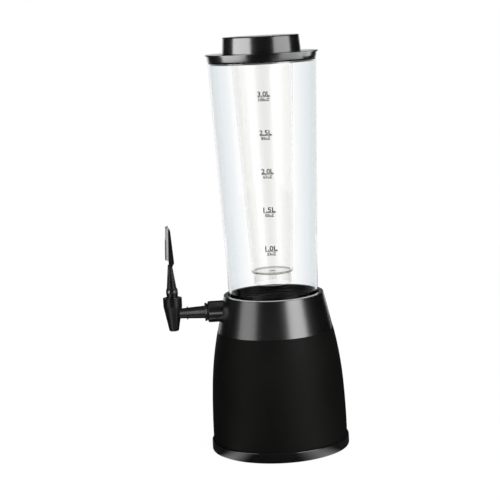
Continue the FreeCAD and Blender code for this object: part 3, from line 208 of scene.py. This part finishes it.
# ---------------------------------------------------------------- body shell
# Barrel-shaped shell moulded of black plastic, smooth in form but with a fine spark-eroded
# matt texture all over the outside.  It stands in the trim ring's groove and carries the
# collar on its flange.

matt_shell = finish_of("matt_shell", (0.0050, 0.0048, 0.0045), (0.0060, 0.0057, 0.0053), 18, (0.50, 0.60),
                       2600, 0.00006, {"Specular IOR Level": 0.1})
dress_node("body_shell", matt_shell)


# ---------------------------------------------------------------- collar and its screws
# Polished black plastic cone that holds the clear tube; the tap goes through the round
# boss on its side, and three screws from inside the shell hold it down.  The bore is dull.

BORE_EDGE = 0.0548
OUTSIDE_SHINE = 0.5


def worked_out(tree, operation, *values, clamp=False):
    """The result of a math node on constants or outputs."""
    node = tree.nodes.new("ShaderNodeMath")
    node.operation = operation
    node.use_clamp = clamp
    for value, socket in zip(values, node.inputs):
        feed(tree, value, socket)
    return node.outputs[0]


def own_axes(tree):
    """X, Y and Z in the object's own place."""
    place = tree.nodes.new("ShaderNodeTexCoord")
    axes = tree.nodes.new("ShaderNodeSeparateXYZ")
    feed(tree, place.outputs["Object"], axes.inputs[0])
    return axes.outputs


def out_from_axis(tree):
    """Distance from the tower axis, and the height, in the object's own place."""
    axes = own_axes(tree)
    flat = tree.nodes.new("ShaderNodeCombineXYZ")
    feed(tree, axes["X"], flat.inputs["X"])
    feed(tree, axes["Y"], flat.inputs["Y"])
    out = tree.nodes.new("ShaderNodeVectorMath")
    out.operation = "LENGTH"
    feed(tree, flat.outputs[0], out.inputs[0])
    return out.outputs["Value"], axes["Z"]


collar_gloss = finish_of("collar_gloss", (0.0015, 0.0015, 0.0014), (0.0022, 0.0022, 0.0020), 20,
                         (0.26, 0.31), 700, 0.00001, {"Coat Roughness": 0.26, "Coat IOR": 1.8})
collar_tree = collar_gloss.node_tree
collar_shader = collar_tree.nodes["Principled BSDF"].inputs
polished = worked_out(collar_tree, "GREATER_THAN", out_from_axis(collar_tree)[0], BORE_EDGE)
collar_shine = worked_out(collar_tree, "MULTIPLY", polished, OUTSIDE_SHINE)
feed(collar_tree, polished, collar_shader["Coat Weight"])
feed(collar_tree, collar_shine, collar_shader["Specular IOR Level"])
dress_node("collar", collar_gloss)
dress_node("collar_screws", zinc_plating)


# ---------------------------------------------------------------- cup and seals
# Black moulded cup that closes the clear tube below and drains to the tap.  Flat rings of
# black silicone seal the tube on its rim and, above, the lid, the ice tube and the cap.

cup_plastic = finish_of("cup_plastic", (0.0035, 0.0035, 0.0034), (0.0045, 0.0045, 0.0043), 40, (0.34, 0.40),
                        1500, 0.00001, {"Specular IOR Level": 0.12})
dress_node("reservoir_cup", cup_plastic)

seal_silicone = finish_of("seal_silicone", (0.004, 0.004, 0.004), (0.006, 0.006, 0.006), 90, (0.42, 0.55),
                          1800, 0.00002, {"Specular IOR Level": 0.05})
for ring in ("tube_gasket", "lid_gasket", "ice_tube_gasket", "cap_liner"):
    dress_node(ring, seal_silicone)


# ---------------------------------------------------------------- clear tube
# Extruded and flared clear plastic tube, faintly blue, that holds the drink between itself
# and the ice tube.  Painted shade turns its edges bluish grey where the wall is seen at a slant.

TUBE_FOOT_RADIUS = 0.0535
TUBE_TOP_RADIUS = 0.0647
TUBE_WALL = 0.0024
TUBE_TINT = (0.990, 0.995, 0.997)
# Painted shade at the tube's edges: its greatest share for each colour, and its share by slant.
TUBE_EDGE_SHADE = (0.24, 0.20, 0.18)
TUBE_SHADE_PROFILE = ((0.0, 0.0), (0.12, 0.0), (0.24, 0.35), (0.36, 0.75), (0.55, 1.0), (1.0, 1.0))
TUBE_LIMB = (0.74, 0.5)
CLEAR_IOR = 1.18
EVEN_BLEND = 0.5
LIMB_FADE = 0.02
tube_foot, tube_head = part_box("beverage_tube")


def slant_of(tree):
    """How far the surface turns away from the eye, from 0 straight on to 1 edge on."""
    facing = tree.nodes.new("ShaderNodeLayerWeight")
    facing.inputs["Blend"].default_value = EVEN_BLEND
    return facing.outputs["Facing"]


def clear_plastic(name, tint, edge, profile, limb, radii, heights):
    """Clear plastic with painted shade where its walls are seen at a slant.

    tint is the colour of the plain wall and edge the greatest painted shade for each colour;
    profile gives the share of that shade on the inner wall from straight on to edge on; limb is
    the slant from which the outer wall, seen past the bore, takes its share; radii and heights
    place the middle of the wall.
    """
    material = finish_of(name, (1.0, 1.0, 1.0), (1.0, 1.0, 1.0), 8, (0.0, 0.012), 60, 0.0,
                         {"Transmission Weight": 1.0, "IOR": CLEAR_IOR})
    tree = material.node_tree
    out, up = out_from_axis(tree)
    inside = worked_out(tree, "LESS_THAN", out, mapped(tree, up, *heights, *radii))
    slant = slant_of(tree)
    ramp = tree.nodes.new("ShaderNodeValToRGB")
    while len(ramp.color_ramp.elements) < len(profile):
        ramp.color_ramp.elements.new(1.0)
    for stop, (position, shade_amount) in zip(ramp.color_ramp.elements, profile):
        stop.position = position
        stop.color = (shade_amount, shade_amount, shade_amount, 1.0)
    feed(tree, slant, ramp.inputs["Fac"])
    past_bore = mapped(tree, slant, limb[0] - LIMB_FADE, limb[0] + LIMB_FADE, 0.0, limb[1])
    share = mixed(tree, "FLOAT", inside, past_bore, ramp.outputs["Color"])
    darkest = [plain * (1 - shade_amount) for plain, shade_amount in zip(tint, edge)]
    colour = mixed(tree, "RGBA", share, (*tint, 1.0), (*darkest, 1.0))
    feed(tree, colour, tree.nodes["Principled BSDF"].inputs["Base Color"])
    return material


tube_clear = clear_plastic("tube_clear", TUBE_TINT, TUBE_EDGE_SHADE, TUBE_SHADE_PROFILE, TUBE_LIMB,
                           (TUBE_FOOT_RADIUS - TUBE_WALL / 2, TUBE_TOP_RADIUS - TUBE_WALL / 2),
                           (tube_foot.z, tube_head.z))
dress_node("beverage_tube", tube_clear)


# ---------------------------------------------------------------- volume marks
# Dark ink screen-printed on the outside of the clear tube, facing the drinker: at each
# half litre the litres, a rule under them and the ounces below in smaller figures.

MARKS = (("3.0L", "100oZ", 0.4312), ("2.5L", "83oZ", 0.3865), ("2.0L", "67oZ", 0.3414),
         ("1.5L", "50oZ", 0.2961), ("1.0L", "33oZ", 0.2503))
MARK_AZIMUTH = math.radians(-3.8)
LITRE_HEIGHT = 0.0059
LITRE_WIDTH = 0.0143
LITRE_FOOT = 0.0002
LITRE_BOLD = 0.022
OUNCE_HEIGHT = 0.0038
OUNCE_PITCH = 0.00265
OUNCE_FOOT = -0.0054
OUNCE_BOLD = 0.030
RULE_WIDTH = 0.0143
RULE_THICKNESS = 0.0007
RULE_LEVEL = -0.0003
RULE_STEPS = 8
FIGURE_STEPS = 3
INK_GAP = 0.00002
INK_DEPTH = 0.00005


def figures(text, wide, tall, foot, bold):
    """Printed figures as a flat bmesh, centred on X, of that width and height, standing on Y = foot."""
    curve = bpy.data.curves.new("figures", "FONT")
    curve.body = text
    curve.resolution_u = FIGURE_STEPS
    curve.offset = bold
    holder = bpy.data.objects.new("figures", curve)
    mesh = bpy.data.meshes.new_from_object(holder)
    shape = bmesh.new()
    shape.from_mesh(mesh)
    bpy.data.objects.remove(holder)
    bpy.data.curves.remove(curve)
    bpy.data.meshes.remove(mesh)
    xs = [vert.co.x for vert in shape.verts]
    ys = [vert.co.y for vert in shape.verts]
    shift = Vector((-(min(xs) + max(xs)) / 2, -min(ys), 0.0))
    growth = Vector((wide / (max(xs) - min(xs)), tall / (max(ys) - min(ys)), 1.0))
    bmesh.ops.translate(shape, verts=shape.verts, vec=shift)
    bmesh.ops.scale(shape, verts=shape.verts, vec=growth)
    bmesh.ops.translate(shape, verts=shape.verts, vec=Vector((0.0, foot, 0.0)))
    return shape


def ruled_line():
    """The rule under the litres as a flat bmesh, made from a square of side 1."""
    rule = bmesh.new()
    bmesh.ops.create_grid(rule, x_segments=RULE_STEPS, y_segments=1, size=0.5)
    bmesh.ops.scale(rule, verts=rule.verts, vec=Vector((RULE_WIDTH, RULE_THICKNESS, 1.0)))
    bmesh.ops.translate(rule, verts=rule.verts, vec=Vector((0.0, RULE_LEVEL, 0.0)))
    return rule


def joined(shapes):
    """One bmesh from several."""
    whole = bmesh.new()
    for shape in shapes:
        mesh = bpy.data.meshes.new("part")
        shape.to_mesh(mesh)
        shape.free()
        whole.from_mesh(mesh)
        bpy.data.meshes.remove(mesh)
    return whole


def thicken(shape, depth):
    """Raises a copy of the flat shape by depth, with walls between the two."""
    bmesh.ops.triangulate(shape, faces=shape.faces)
    thick = bmesh.ops.extrude_face_region(shape, geom=shape.faces[:])
    raised = [item for item in thick["geom"] if isinstance(item, bmesh.types.BMVert)]
    bmesh.ops.translate(shape, verts=raised, vec=Vector((0.0, 0.0, depth)))


def bmesh_piece(name, shape, material):
    """Turns a finished bmesh into an object with that material."""
    mesh = bpy.data.meshes.new(name)
    shape.to_mesh(mesh)
    shape.free()
    mesh.materials.append(material)
    piece = bpy.data.objects.new(name, mesh)
    bpy.context.scene.collection.objects.link(piece)
    return piece


def wrap_on_tube(shape, azimuth, height):
    """Lays the flat print, X across and Y up, round the tube's tapered outside."""
    for vert in shape.verts:
        level = height + vert.co.y
        share = (level - tube_foot.z) / (tube_head.z - tube_foot.z)
        radius = TUBE_FOOT_RADIUS + (TUBE_TOP_RADIUS - TUBE_FOOT_RADIUS) * share + INK_GAP + vert.co.z
        turn = azimuth + vert.co.x / radius
        vert.co = Vector((radius * math.sin(turn), -radius * math.cos(turn), level))


mark_ink = finish_of("mark_ink", (0.022, 0.022, 0.021), (0.034, 0.034, 0.032), 500, (0.60, 0.75), 2500,
                     0.00001, {"Specular IOR Level": 0.1})
for litres, ounces, height in MARKS:
    mark = joined([figures(litres, LITRE_WIDTH, LITRE_HEIGHT, LITRE_FOOT, LITRE_BOLD), ruled_line(),
                   figures(ounces, OUNCE_PITCH * len(ounces), OUNCE_HEIGHT, OUNCE_FOOT, OUNCE_BOLD)])
    thicken(mark, INK_DEPTH)
    wrap_on_tube(mark, MARK_AZIMUTH, height)
    bmesh.ops.recalc_face_normals(mark, faces=mark.faces)
    print_mark = bmesh_piece("mark_" + litres.replace(".", "_"), mark, mark_ink)
    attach(print_mark, "tube")


# ---------------------------------------------------------------- lid
# Gloss black moulded lid: a band with a thin lip stands on the tube's mouth over a flat
# seal, and a rim under it centres the lid in the bore.

lid_gloss = finish_of("lid_gloss", (0.003, 0.003, 0.003), (0.004, 0.004, 0.004), 25, (0.20, 0.25), 800,
                      0.00001, {"Coat Weight": 1.0, "Coat Roughness": 0.18, "Coat IOR": 1.7})
dress_node("lid", lid_gloss)


# ---------------------------------------------------------------- ice tube
# Clear moulded tube for ice that hangs in the lid, a little warmer than the outer one.
# A painted reflection darkens a thin strip down its middle, and painted shade darkens its edges,
# lays a grey ring at its thick corner of wall and floor and greys the skirt and boss at their edges.

ICE_FLOOR = 0.2184
ICE_FLANGE = 0.4902
ICE_MID_RADII = (0.02385, 0.0364)
ICE_TINT = (0.995, 0.993, 0.986)
ICE_EDGE_SHADE = (0.15, 0.15, 0.17)
ICE_SHADE_PROFILE = ((0.0, 1.0), (0.02, 0.55), (0.06, 0.0), (0.10, 0.0), (0.30, 0.70), (0.5, 1.0), (1.0, 1.0))
ICE_LIMB = (0.60, 1.0)
ICE_SHADE_GREY = (0.42, 0.42, 0.40)
CORNER_LEVEL = 0.2180
CORNER_HALF = 0.0013
CORNER_RADIUS = 0.0222
SKIRT_TOP = 0.2162
SKIRT_SLANT = (0.5, 0.9)
SKIRT_SHARE = 0.7

ice_clear = clear_plastic("ice_clear", ICE_TINT, ICE_EDGE_SHADE, ICE_SHADE_PROFILE, ICE_LIMB, ICE_MID_RADII,
                          (ICE_FLOOR, ICE_FLANGE))
ice_tree = ice_clear.node_tree
ice_base = ice_tree.nodes["Principled BSDF"].inputs["Base Color"]
ice_out, ice_up = out_from_axis(ice_tree)
# Painted shade: a grey ring at the corner of wall and floor, and grey edges on the skirt below.
at_floor = worked_out(ice_tree, "COMPARE", ice_up, CORNER_LEVEL, CORNER_HALF)
in_wall = worked_out(ice_tree, "GREATER_THAN", ice_out, CORNER_RADIUS)
corner_shade = worked_out(ice_tree, "MULTIPLY", at_floor, in_wall)
below_floor = worked_out(ice_tree, "LESS_THAN", ice_up, SKIRT_TOP)
skirt_limb = mapped(ice_tree, slant_of(ice_tree), *SKIRT_SLANT, 0.0, SKIRT_SHARE)
skirt_shade = worked_out(ice_tree, "MULTIPLY", below_floor, skirt_limb)
painted_ice_shade = worked_out(ice_tree, "MAXIMUM", corner_shade, skirt_shade)
ice_plain = ice_base.links[0].from_socket
feed(ice_tree, mixed(ice_tree, "RGBA", painted_ice_shade, ice_plain, (*ICE_SHADE_GREY, 1.0)), ice_base)
dress_node("ice_tube", ice_clear)


# ---------------------------------------------------------------- cap
# Hollow knob of polished black plastic, moulded in one, that closes the ice tube.  A rib
# inside it presses the sealing ring on the tube's flange.

cap_gloss = finish_of("cap_gloss", (0.004, 0.004, 0.004), (0.006, 0.006, 0.006), 22, (0.20, 0.25), 700,
                      0.00001, {"Coat Weight": 1.0, "Coat Roughness": 0.19, "Coat IOR": 1.8})
dress_node("ice_cap", cap_gloss)


# ---------------------------------------------------------------- tap
# Semi-gloss moulded tap with its nut and screw bonnet, black rubber washers, disc and seat
# cup, and a glossier lever.  Spring and pins are of stainless steel.

tap_plastic = finish_of("tap_plastic", (0.0040, 0.0040, 0.0038), (0.0060, 0.0060, 0.0056), 70, (0.26, 0.34),
                        1800, 0.00002, {"Specular IOR Level": 0.5})
for piece in ("tap_body", "tap_bonnet", "lock_nut", "valve_stem", "stem_head"):
    dress_node(piece, tap_plastic)
lever_plastic = finish_of("lever_plastic", (0.0040, 0.0040, 0.0038), (0.0055, 0.0055, 0.0052), 70,
                          (0.15, 0.19), 1500, 0.00001, {"Specular IOR Level": 0.5})
dress_node("tap_handle", lever_plastic)
washer_rubber = finish_of("washer_rubber", (0.016, 0.016, 0.017), (0.024, 0.024, 0.024), 120, (0.66, 0.80),
                          2500, 0.00004)
for piece in ("shank_washer", "nut_washer", "bonnet_gasket", "seat_cup"):
    dress_node(piece, washer_rubber)
spring_steel = finish_of("spring_steel", (0.55, 0.55, 0.56), (0.66, 0.65, 0.64), 400, (0.18, 0.28), 4000,
                         0.00001, {"Metallic": 1.0})
for piece in ("return_spring", "pivot_pin", "lift_pin"):
    dress_node(piece, spring_steel)

spring_coil = bpy.data.objects.new("spring_coil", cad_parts["return_spring"].data.copy())
bpy.context.scene.collection.objects.link(spring_coil)
smooth_between_edges(spring_coil)
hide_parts("return_spring")
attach(spring_coil, "base")
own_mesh(spring_coil)


# ---------------------------------------------------------------- lever's front plate
# Pale grey moulded plate on the front of the lever, with a bare raised field in two steps;
# painted shade darkens the front of the lower one.

PLATE_BACK = -0.1244
PLATE_FOOT = 0.2390
PLATE_LEAN = 0.0438
PLATE_REACH = 0.1
FIELD_STEP = 0.2638
FIELD_SKIN = 0.0029
FIELD_PAINTED_SHADE = (0.045, 0.045, 0.045)

plate_grey = finish_of("plate_grey", (0.36, 0.36, 0.37), (0.43, 0.43, 0.43), 90, (0.32, 0.42), 2000, 0.00002)
plate_tree = plate_grey.node_tree
plate_base = plate_tree.nodes["Principled BSDF"].inputs["Base Color"]
plate_axes = own_axes(plate_tree)
skin_foot = PLATE_BACK - FIELD_SKIN
skin_head = skin_foot + PLATE_REACH * PLATE_LEAN
skin = mapped(plate_tree, plate_axes["Z"], PLATE_FOOT, PLATE_FOOT + PLATE_REACH, skin_foot, skin_head,
              clamp=False)
# Painted shade on the front of the lower step.
in_skin = worked_out(plate_tree, "LESS_THAN", plate_axes["X"], skin)
below_step = worked_out(plate_tree, "LESS_THAN", plate_axes["Z"], FIELD_STEP)
shaded_field = worked_out(plate_tree, "MULTIPLY", in_skin, below_step)
plate_plain = plate_base.links[0].from_socket
feed(plate_tree, mixed(plate_tree, "RGBA", shaded_field, plate_plain, (*FIELD_PAINTED_SHADE, 1.0)), plate_base)
dress_node("handle_plate", plate_grey)


# ---------------------------------------------------------------- floor
# Pale paper floor.  The camera and the clear plastic see it white, with the tower's
# shadow; gloss sees it dark, but for two bands in front and the part far behind.

FLOOR_RADIUS = 1.6
FLOOR_STEPS = 96
FLOOR_PAPER = (0.97, 0.97, 0.97)
FLOOR_SHINE = 0.90
FLOOR_GLOW = 1.06
FLOOR_DARK = 0.02
FLOOR_BANDS = ((-54, 20, 1.15), (36, 26, 1.15))
FLOOR_BEHIND = (1.14, 1.20)
WHITE = (1.0, 1.0, 1.0, 1.0)


def glow(tree, strength):
    """A shader that gives white light of that strength."""
    node = tree.nodes.new("ShaderNodeEmission")
    node.inputs["Color"].default_value = WHITE
    feed(tree, strength, node.inputs["Strength"])
    return node.outputs[0]


def mixed_shaders(tree, share, first, second):
    """A mix of two shaders."""
    node = tree.nodes.new("ShaderNodeMixShader")
    for entry, socket in zip((share, first, second), node.inputs):
        feed(tree, entry, socket)
    return node.outputs[0]


def band_round(tree, azimuth, middle, half, peak):
    """A soft band round an azimuth in degrees: peak in its middle, 0 from half on."""
    away = worked_out(tree, "SUBTRACT", azimuth, math.radians(middle))
    distance = worked_out(tree, "ABSOLUTE", away)
    return mapped(tree, distance, 0.0, math.radians(half), peak, 0.0, soft=True)


floor_paper = bpy.data.materials.new("floor_paper")
floor_paper.use_nodes = True
floor_tree = floor_paper.node_tree
floor_tree.nodes.clear()
floor_path = floor_tree.nodes.new("ShaderNodeLightPath").outputs
floor_out = floor_tree.nodes.new("ShaderNodeOutputMaterial").inputs
floor_diffuse = floor_tree.nodes.new("ShaderNodeBsdfDiffuse")
floor_diffuse.inputs["Color"].default_value = (*FLOOR_PAPER, 1.0)

floor_clear = worked_out(floor_tree, "ADD", floor_path["Is Camera Ray"], floor_path["Is Transmission Ray"],
                         clamp=True)
floor_share = worked_out(floor_tree, "MULTIPLY", floor_clear, FLOOR_SHINE)
floor_seen = mixed_shaders(floor_tree, floor_share, floor_diffuse.outputs[0], glow(floor_tree, FLOOR_GLOW))

floor_axes = own_axes(floor_tree)
floor_front = worked_out(floor_tree, "MULTIPLY", floor_axes["Y"], -1.0)
floor_azimuth = worked_out(floor_tree, "ARCTAN2", floor_axes["X"], floor_front)
floor_bands = worked_out(floor_tree, "ADD", *[band_round(floor_tree, floor_azimuth, *band)
                                              for band in FLOOR_BANDS])
floor_behind = mapped(floor_tree, floor_axes["Y"], *FLOOR_BEHIND, FLOOR_DARK, 1.0)
floor_level = worked_out(floor_tree, "ADD", floor_bands, floor_behind)
floor_gloss = worked_out(floor_tree, "SUBTRACT", floor_path["Is Glossy Ray"],
                         floor_path["Is Transmission Ray"], clamp=True)
floor_shade = mixed_shaders(floor_tree, floor_gloss, floor_seen, glow(floor_tree, floor_level))
feed(floor_tree, floor_shade, floor_out["Surface"])

disc = bmesh.new()
bmesh.ops.create_circle(disc, cap_ends=True, segments=FLOOR_STEPS, radius=FLOOR_RADIUS)
floor = bmesh_piece("floor", disc, floor_paper)


# ---------------------------------------------------------------- world
# Even white studio.  Gloss sees it dark, but for a low strip behind the tower and a faint
# light overhead; matt surfaces get a part of it.

AMBIENT = 0.45
FRONT_DARK = 0.008
BEHIND_FADE = (0.84, 0.92)
LOW_FADE = (0.07, 0.13)
ABOVE_FADE = (0.75, 0.90)
ABOVE_GLOW = 0.2

world = bpy.data.worlds.new("studio")
bpy.context.scene.world = world
world.use_nodes = True
air = world.node_tree
air.nodes.clear()
air_out = air.nodes.new("ShaderNodeOutputWorld").inputs
air_path = air.nodes.new("ShaderNodeLightPath").outputs
direction = air.nodes.new("ShaderNodeTexCoord")
air_axes = air.nodes.new("ShaderNodeSeparateXYZ")
feed(air, direction.outputs["Generated"], air_axes.inputs[0])
behind = mapped(air, air_axes.outputs["Y"], *BEHIND_FADE, FRONT_DARK, 1.0)
low_only = mapped(air, air_axes.outputs["Z"], *LOW_FADE, 1.0, FRONT_DARK)
behind_low = worked_out(air, "MULTIPLY", behind, low_only)
above = mapped(air, air_axes.outputs["Z"], *ABOVE_FADE, 0.0, ABOVE_GLOW)
in_gloss = worked_out(air, "ADD", behind_low, above)
clear_view = worked_out(air, "ADD", air_path["Is Camera Ray"], air_path["Is Transmission Ray"], clamp=True)
unclear = mixed(air, "FLOAT", air_path["Is Glossy Ray"], AMBIENT, in_gloss)
air_shade = air.nodes.new("ShaderNodeBackground")
air_shade.inputs["Color"].default_value = WHITE
feed(air, mixed(air, "FLOAT", clear_view, unclear, 1.0), air_shade.inputs["Strength"])
feed(air, air_shade.outputs[0], air_out["Surface"])


# ---------------------------------------------------------------- lamps
# Tall soft lamps in front, left and right.  Lid and cap, the lid's band, lever, arm and
# boss have lamps of their own, which stand for the flags and cards of a studio.

WALLS_PASSED = 3.5
NOT_REFLECTED = 0.5


def soft_lamp(name, azimuth, distance, height, wide, tall, power):
    """An upright area lamp that faces the tower; azimuth is measured from -Y toward +X.

    Its reflections show through the clear tubes, but the lamp itself, four faces of their
    walls behind them, doesn't.
    """
    lamp = bpy.data.lights.new(name, "AREA")
    lamp.shape = "RECTANGLE"
    lamp.size = wide
    lamp.size_y = tall
    lamp.energy = power
    lamp.use_nodes = True
    tree = lamp.node_tree
    path = tree.nodes.new("ShaderNodeLightPath").outputs
    through = worked_out(tree, "GREATER_THAN", path["Transmission Depth"], WALLS_PASSED)
    direct = worked_out(tree, "LESS_THAN", path["Glossy Depth"], NOT_REFLECTED)
    unseen = worked_out(tree, "MULTIPLY", through, direct)
    shown = worked_out(tree, "SUBTRACT", 1.0, unseen)
    feed(tree, shown, tree.nodes["Emission"].inputs["Strength"])
    holder = bpy.data.objects.new(name, lamp)
    turn = math.radians(azimuth)
    place = Vector((distance * math.sin(turn), -distance * math.cos(turn), height))
    aim = Vector((0.0, 0.0, height)) - place
    holder.matrix_world = Matrix.Translation(place) @ aim.to_track_quat("-Z", "Y").to_matrix().to_4x4()
    holder.visible_camera = False
    bpy.context.scene.collection.objects.link(holder)
    return holder


def receivers(name, pieces, left_out=False):
    """The nodes that a lamp lights alone or, with left_out, the only ones that it doesn't."""
    group = bpy.data.collections.new(name)
    for piece in pieces:
        group.objects.link(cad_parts[piece])
    if left_out:
        for entry in group.collection_objects:
            entry.light_linking.link_state = "EXCLUDE"
    return group


lid_alone = receivers("lid_and_cap", ("lid", "ice_cap"))
all_but_lid = receivers("all_but_lid_and_cap", ("lid", "ice_cap"), left_out=True)
arm_and_boss = receivers("arm_and_boss", ("tap_body", "collar"))
arm_alone = receivers("arm_alone", ("tap_body",))
band_alone = receivers("band_alone", ("lid",))
lever_alone = receivers("lever_alone", ("tap_handle",))
for name, azimuth, distance, height, wide, tall, power, lit in (
        ("lamp_left", -62, 1.2, 0.6, 0.80, 1.0, 4.6, all_but_lid),
        ("lamp_right", 42, 1.2, 0.6, 0.80, 1.0, 11.0, all_but_lid),
        ("lamp_left_lid", -64, 1.2, 0.6, 1.35, 1.0, 20.0, lid_alone),
        ("lamp_right_lid", 60, 1.2, 0.6, 1.25, 1.0, 10.8, lid_alone),
        ("lamp_far_right_band", 100, 1.2, 0.45, 0.75, 0.5, 3.2, band_alone),
        ("lamp_boss", -12, 0.51, 0.07, 0.18, 0.12, 0.17, arm_and_boss),
        ("lamp_arm", -12, 0.51, 0.40, 0.18, 0.52, 1.1, arm_alone),
        ("lamp_left_lever", -62, 1.2, 0.5, 0.60, 0.8, 12.0, lever_alone),
        ("lamp_right_lever", 42, 1.2, 0.5, 0.60, 0.8, 6.0, lever_alone)):
    holder = soft_lamp(name, azimuth, distance, height, wide, tall, power)
    holder.light_linking.receiver_collection = lit


# ---------------------------------------------------------------- camera
# Camera in front of the tower and a little above its head, pitched down and rolled;
# TOWER_TURN takes it round the tower's axis, toward the tap.

CAMERA_HEIGHT = 0.5378
CAMERA_DISTANCE = 1.918
CAMERA_PITCH = math.radians(8.7)
CAMERA_YAW = math.radians(-0.764748)
CAMERA_ROLL = math.radians(3.0)
TOWER_TURN = math.radians(-4.0)
FOCAL_PIXELS = 1609.0
FRAME_PIXELS = 500.0
SENSOR = 36.0
FAR_CLIP = 20.0

forward = Vector((math.sin(CAMERA_YAW) * math.cos(CAMERA_PITCH),
                  math.cos(CAMERA_YAW) * math.cos(CAMERA_PITCH), -math.sin(CAMERA_PITCH)))
level_right = Vector((math.cos(CAMERA_YAW), -math.sin(CAMERA_YAW), 0.0))
level_up = level_right.cross(forward)
camera_up = level_up * math.cos(CAMERA_ROLL) + level_right * math.sin(CAMERA_ROLL)
camera_right = level_right * math.cos(CAMERA_ROLL) - level_up * math.sin(CAMERA_ROLL)
turning = Matrix.Rotation(TOWER_TURN, 4, "Z")
stand = Matrix((camera_right, camera_up, -forward)).transposed().to_4x4()
stand.translation = Vector((0.0, -CAMERA_DISTANCE, CAMERA_HEIGHT))
lens = bpy.data.cameras.new("camera")
lens.sensor_width = SENSOR
lens.lens = FOCAL_PIXELS / FRAME_PIXELS * SENSOR
lens.clip_end = FAR_CLIP
camera = bpy.data.objects.new("camera", lens)
camera.matrix_world = turning @ stand
bpy.context.scene.collection.objects.link(camera)
bpy.context.scene.camera = camera
bpy.context.scene.view_settings.view_transform = "Standard"
